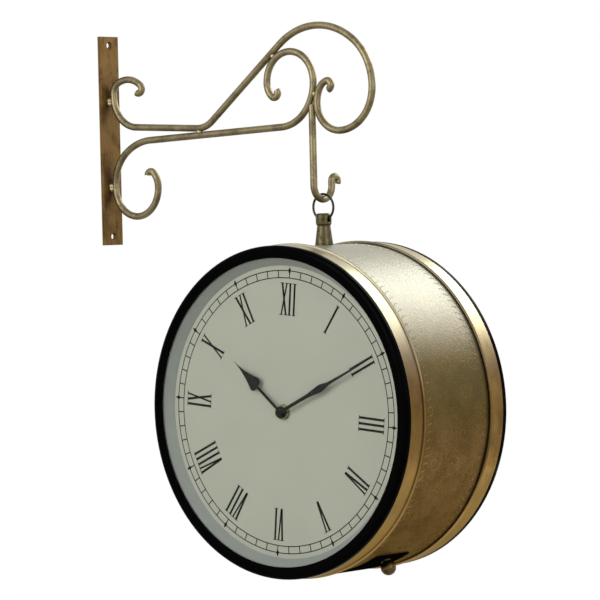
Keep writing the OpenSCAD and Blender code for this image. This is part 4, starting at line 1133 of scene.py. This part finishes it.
@dataclass
class Studio:
    """Pale floor, soft lamps, a white surround and the camera at the photograph's place."""

    azimuth: float = 40.3773
    elevation: float = 1.6419
    roll: float = -1.3568
    focal_pixels: float = 3449.66
    image_pixels: float = 600.0
    unit: float = 116.084
    shift_x: float = -0.114
    shift_y: float = -0.791
    distance: float = 24.325
    floor_drop: float = 0.62
    floor_half: float = 12.0
    floor_colour: str = "#dcd9d0"
    floor_glow: float = 0.22
    glow_from: float = 0.6
    glow_full: float = 4.5
    surround: float = 0.45
    lamps: tuple[Lamp, ...] = (
        Lamp("top_back_softbox", (0.19, 1.0, 0.77), 0.88, 9.8, "#f4f9f6"),
        Lamp("low_back_fill", (0.45, 1.14, -0.9), 0.8, 3.4),
        Lamp("front_fill", (-0.4, -1.8, 0.7), 1.4, 17.5),
        Lamp("right_fill", (1.8, -0.4, 0.6), 1.0, 8.0),
    )

    def looked_at(self, tree: NodeTree) -> Feed:
        """Tells what is looked at, straight, in a reflection or through glass, from what only gives light.

        Args:
            tree: the tree of the floor or the surround.

        Returns:
            1 where it is looked at, or else 0.
        """
        path = add_node(tree, "ShaderNodeLightPath")
        seen = add_node(tree, "ShaderNodeMath", {
            0: path.outputs["Is Camera Ray"], 1: path.outputs["Is Glossy Ray"]}, operation="MAXIMUM")
        return add_node(tree, "ShaderNodeMath", {
            0: seen, 1: path.outputs["Is Transmission Ray"]}, operation="MAXIMUM")

    def floor(self, below: float) -> None:
        """Lays the floor, which turns to the white of the surround further out.

        Args:
            below: the floor's height, in metres.
        """
        shape = bmesh.new()
        bmesh.ops.create_grid(shape, x_segments=2, y_segments=2, size=self.floor_half)
        bmesh.ops.translate(shape, verts=shape.verts, vec=(0, 0, below))
        plane = mesh_piece("studio_floor", shape)
        made = bpy.data.materials.new("pale_floor")
        tree = emptied(made)
        where = add_node(tree, "ShaderNodeTexCoord").outputs["Object"]
        level = add_node(tree, "ShaderNodeMapping", {"Vector": where, "Scale": (1.0, 1.0, 0.0)})
        far = add_node(tree, "ShaderNodeVectorMath", {0: level}, operation="LENGTH")
        outer = add_node(tree, "ShaderNodeMapRange", {
            "Value": far.outputs["Value"], "From Min": self.glow_from, "From Max": self.glow_full,
            "To Min": self.floor_glow}, interpolation_type="SMOOTHSTEP")
        share = add_node(tree, "ShaderNodeMath", {0: outer, 1: self.looked_at(tree)}, operation="MULTIPLY")
        matt = add_node(tree, "ShaderNodeBsdfPrincipled", {
            "Base Color": linear(self.floor_colour), "Roughness": 0.9, "Specular IOR Level": 0.0})
        white = add_node(tree, "ShaderNodeEmission", {"Color": (1, 1, 1, 1), "Strength": 1.0})
        mixed = add_node(tree, "ShaderNodeMixShader", {0: share, 1: matt, 2: white})
        add_node(tree, "ShaderNodeOutputMaterial", {"Surface": mixed})
        plane.data.materials.append(made)
        plane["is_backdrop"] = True

    def world(self) -> None:
        """Sets the surround: white to the eye and in reflections, softer as light."""
        world = bpy.data.worlds.new("white_surround")
        tree = emptied(world)
        strength = add_node(tree, "ShaderNodeMapRange", {
            "Value": self.looked_at(tree), "To Min": self.surround, "To Max": 1.0})
        ground = add_node(tree, "ShaderNodeBackground", {"Color": (1, 1, 1, 1), "Strength": strength})
        add_node(tree, "ShaderNodeOutputWorld", {"Surface": ground})
        bpy.context.scene.world = world

    def light(self, centre: Vector) -> None:
        """Hangs the lamps about the clock.

        Args:
            centre: the middle of the drum, in metres.
        """
        for lamp in self.lamps:
            data = bpy.data.lights.new(lamp.name, "AREA")
            data.shape = "DISK"
            data.size = lamp.size
            data.energy = lamp.power
            data.color = linear(lamp.tint)[:3]
            holder = bpy.data.objects.new(lamp.name, data)
            holder.location = centre + Vector(lamp.place)
            holder.rotation_mode = "QUATERNION"
            holder.rotation_quaternion = (-Vector(lamp.place)).to_track_quat("-Z", "Y")
            holder.visible_camera = False
            bpy.context.scene.collection.objects.link(holder)

    def camera(self) -> None:
        """Sets up the camera where the photograph was taken from."""
        a, e, r = (math.radians(v) for v in (self.azimuth, self.elevation, self.roll))
        back = Vector((math.sin(a) * math.cos(e), -math.cos(a) * math.cos(e), math.sin(e)))
        right = Vector((math.cos(a), math.sin(a), 0))
        up = back.cross(right)
        right, up = right * math.cos(r) + up * math.sin(r), up * math.cos(r) - right * math.sin(r)
        aim = middle("front_dial")
        aim.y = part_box("front_dial")[0].y
        unit = self.unit * MM
        place = aim + (self.distance * back - self.shift_x * right - self.shift_y * up) * unit
        data = bpy.data.cameras.new("photograph_camera")
        data.sensor_width = 36.0
        data.lens = self.focal_pixels / self.image_pixels * data.sensor_width
        data.clip_start = 0.05
        data.clip_end = 60.0
        holder = bpy.data.objects.new("photograph_camera", data)
        turn = Matrix((right, up, back)).transposed().to_4x4()
        holder.matrix_world = Matrix.Translation(place) @ turn
        bpy.context.scene.collection.objects.link(holder)
        bpy.context.scene.camera = holder

    def build(self, centre: Vector) -> None:
        """Builds the whole studio.

        Args:
            centre: the middle of the drum, in metres.
        """
        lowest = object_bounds()[0].z
        self.floor(lowest - self.floor_drop)
        self.world()
        self.light(centre)
        self.camera()
        bpy.context.scene.view_settings.view_transform = "Standard"


def main() -> None:
    """Builds the clock's looks, one sub-assembly after the other, and then the studio."""
    logging.basicConfig(level=logging.INFO, format="%(message)s")
    centre = middle("drum_shell")
    finishes = shared_finishes()
    rules = {"ring": ring_rule(), "marks": marks_rule()}
    WallBracket().build()
    HangingParts().build(finishes["zinc"])
    Drum().build(centre)
    BatteryDoor().build(finishes["zinc"])
    for side, turn in ((Side.FRONT, 5.0), (Side.REAR, 0.0)):
        DialSide(side, turn).build(finishes, rules)
        Movement(side).build(finishes)
    Studio().build(centre)


if __name__ == "__main__":
    main()
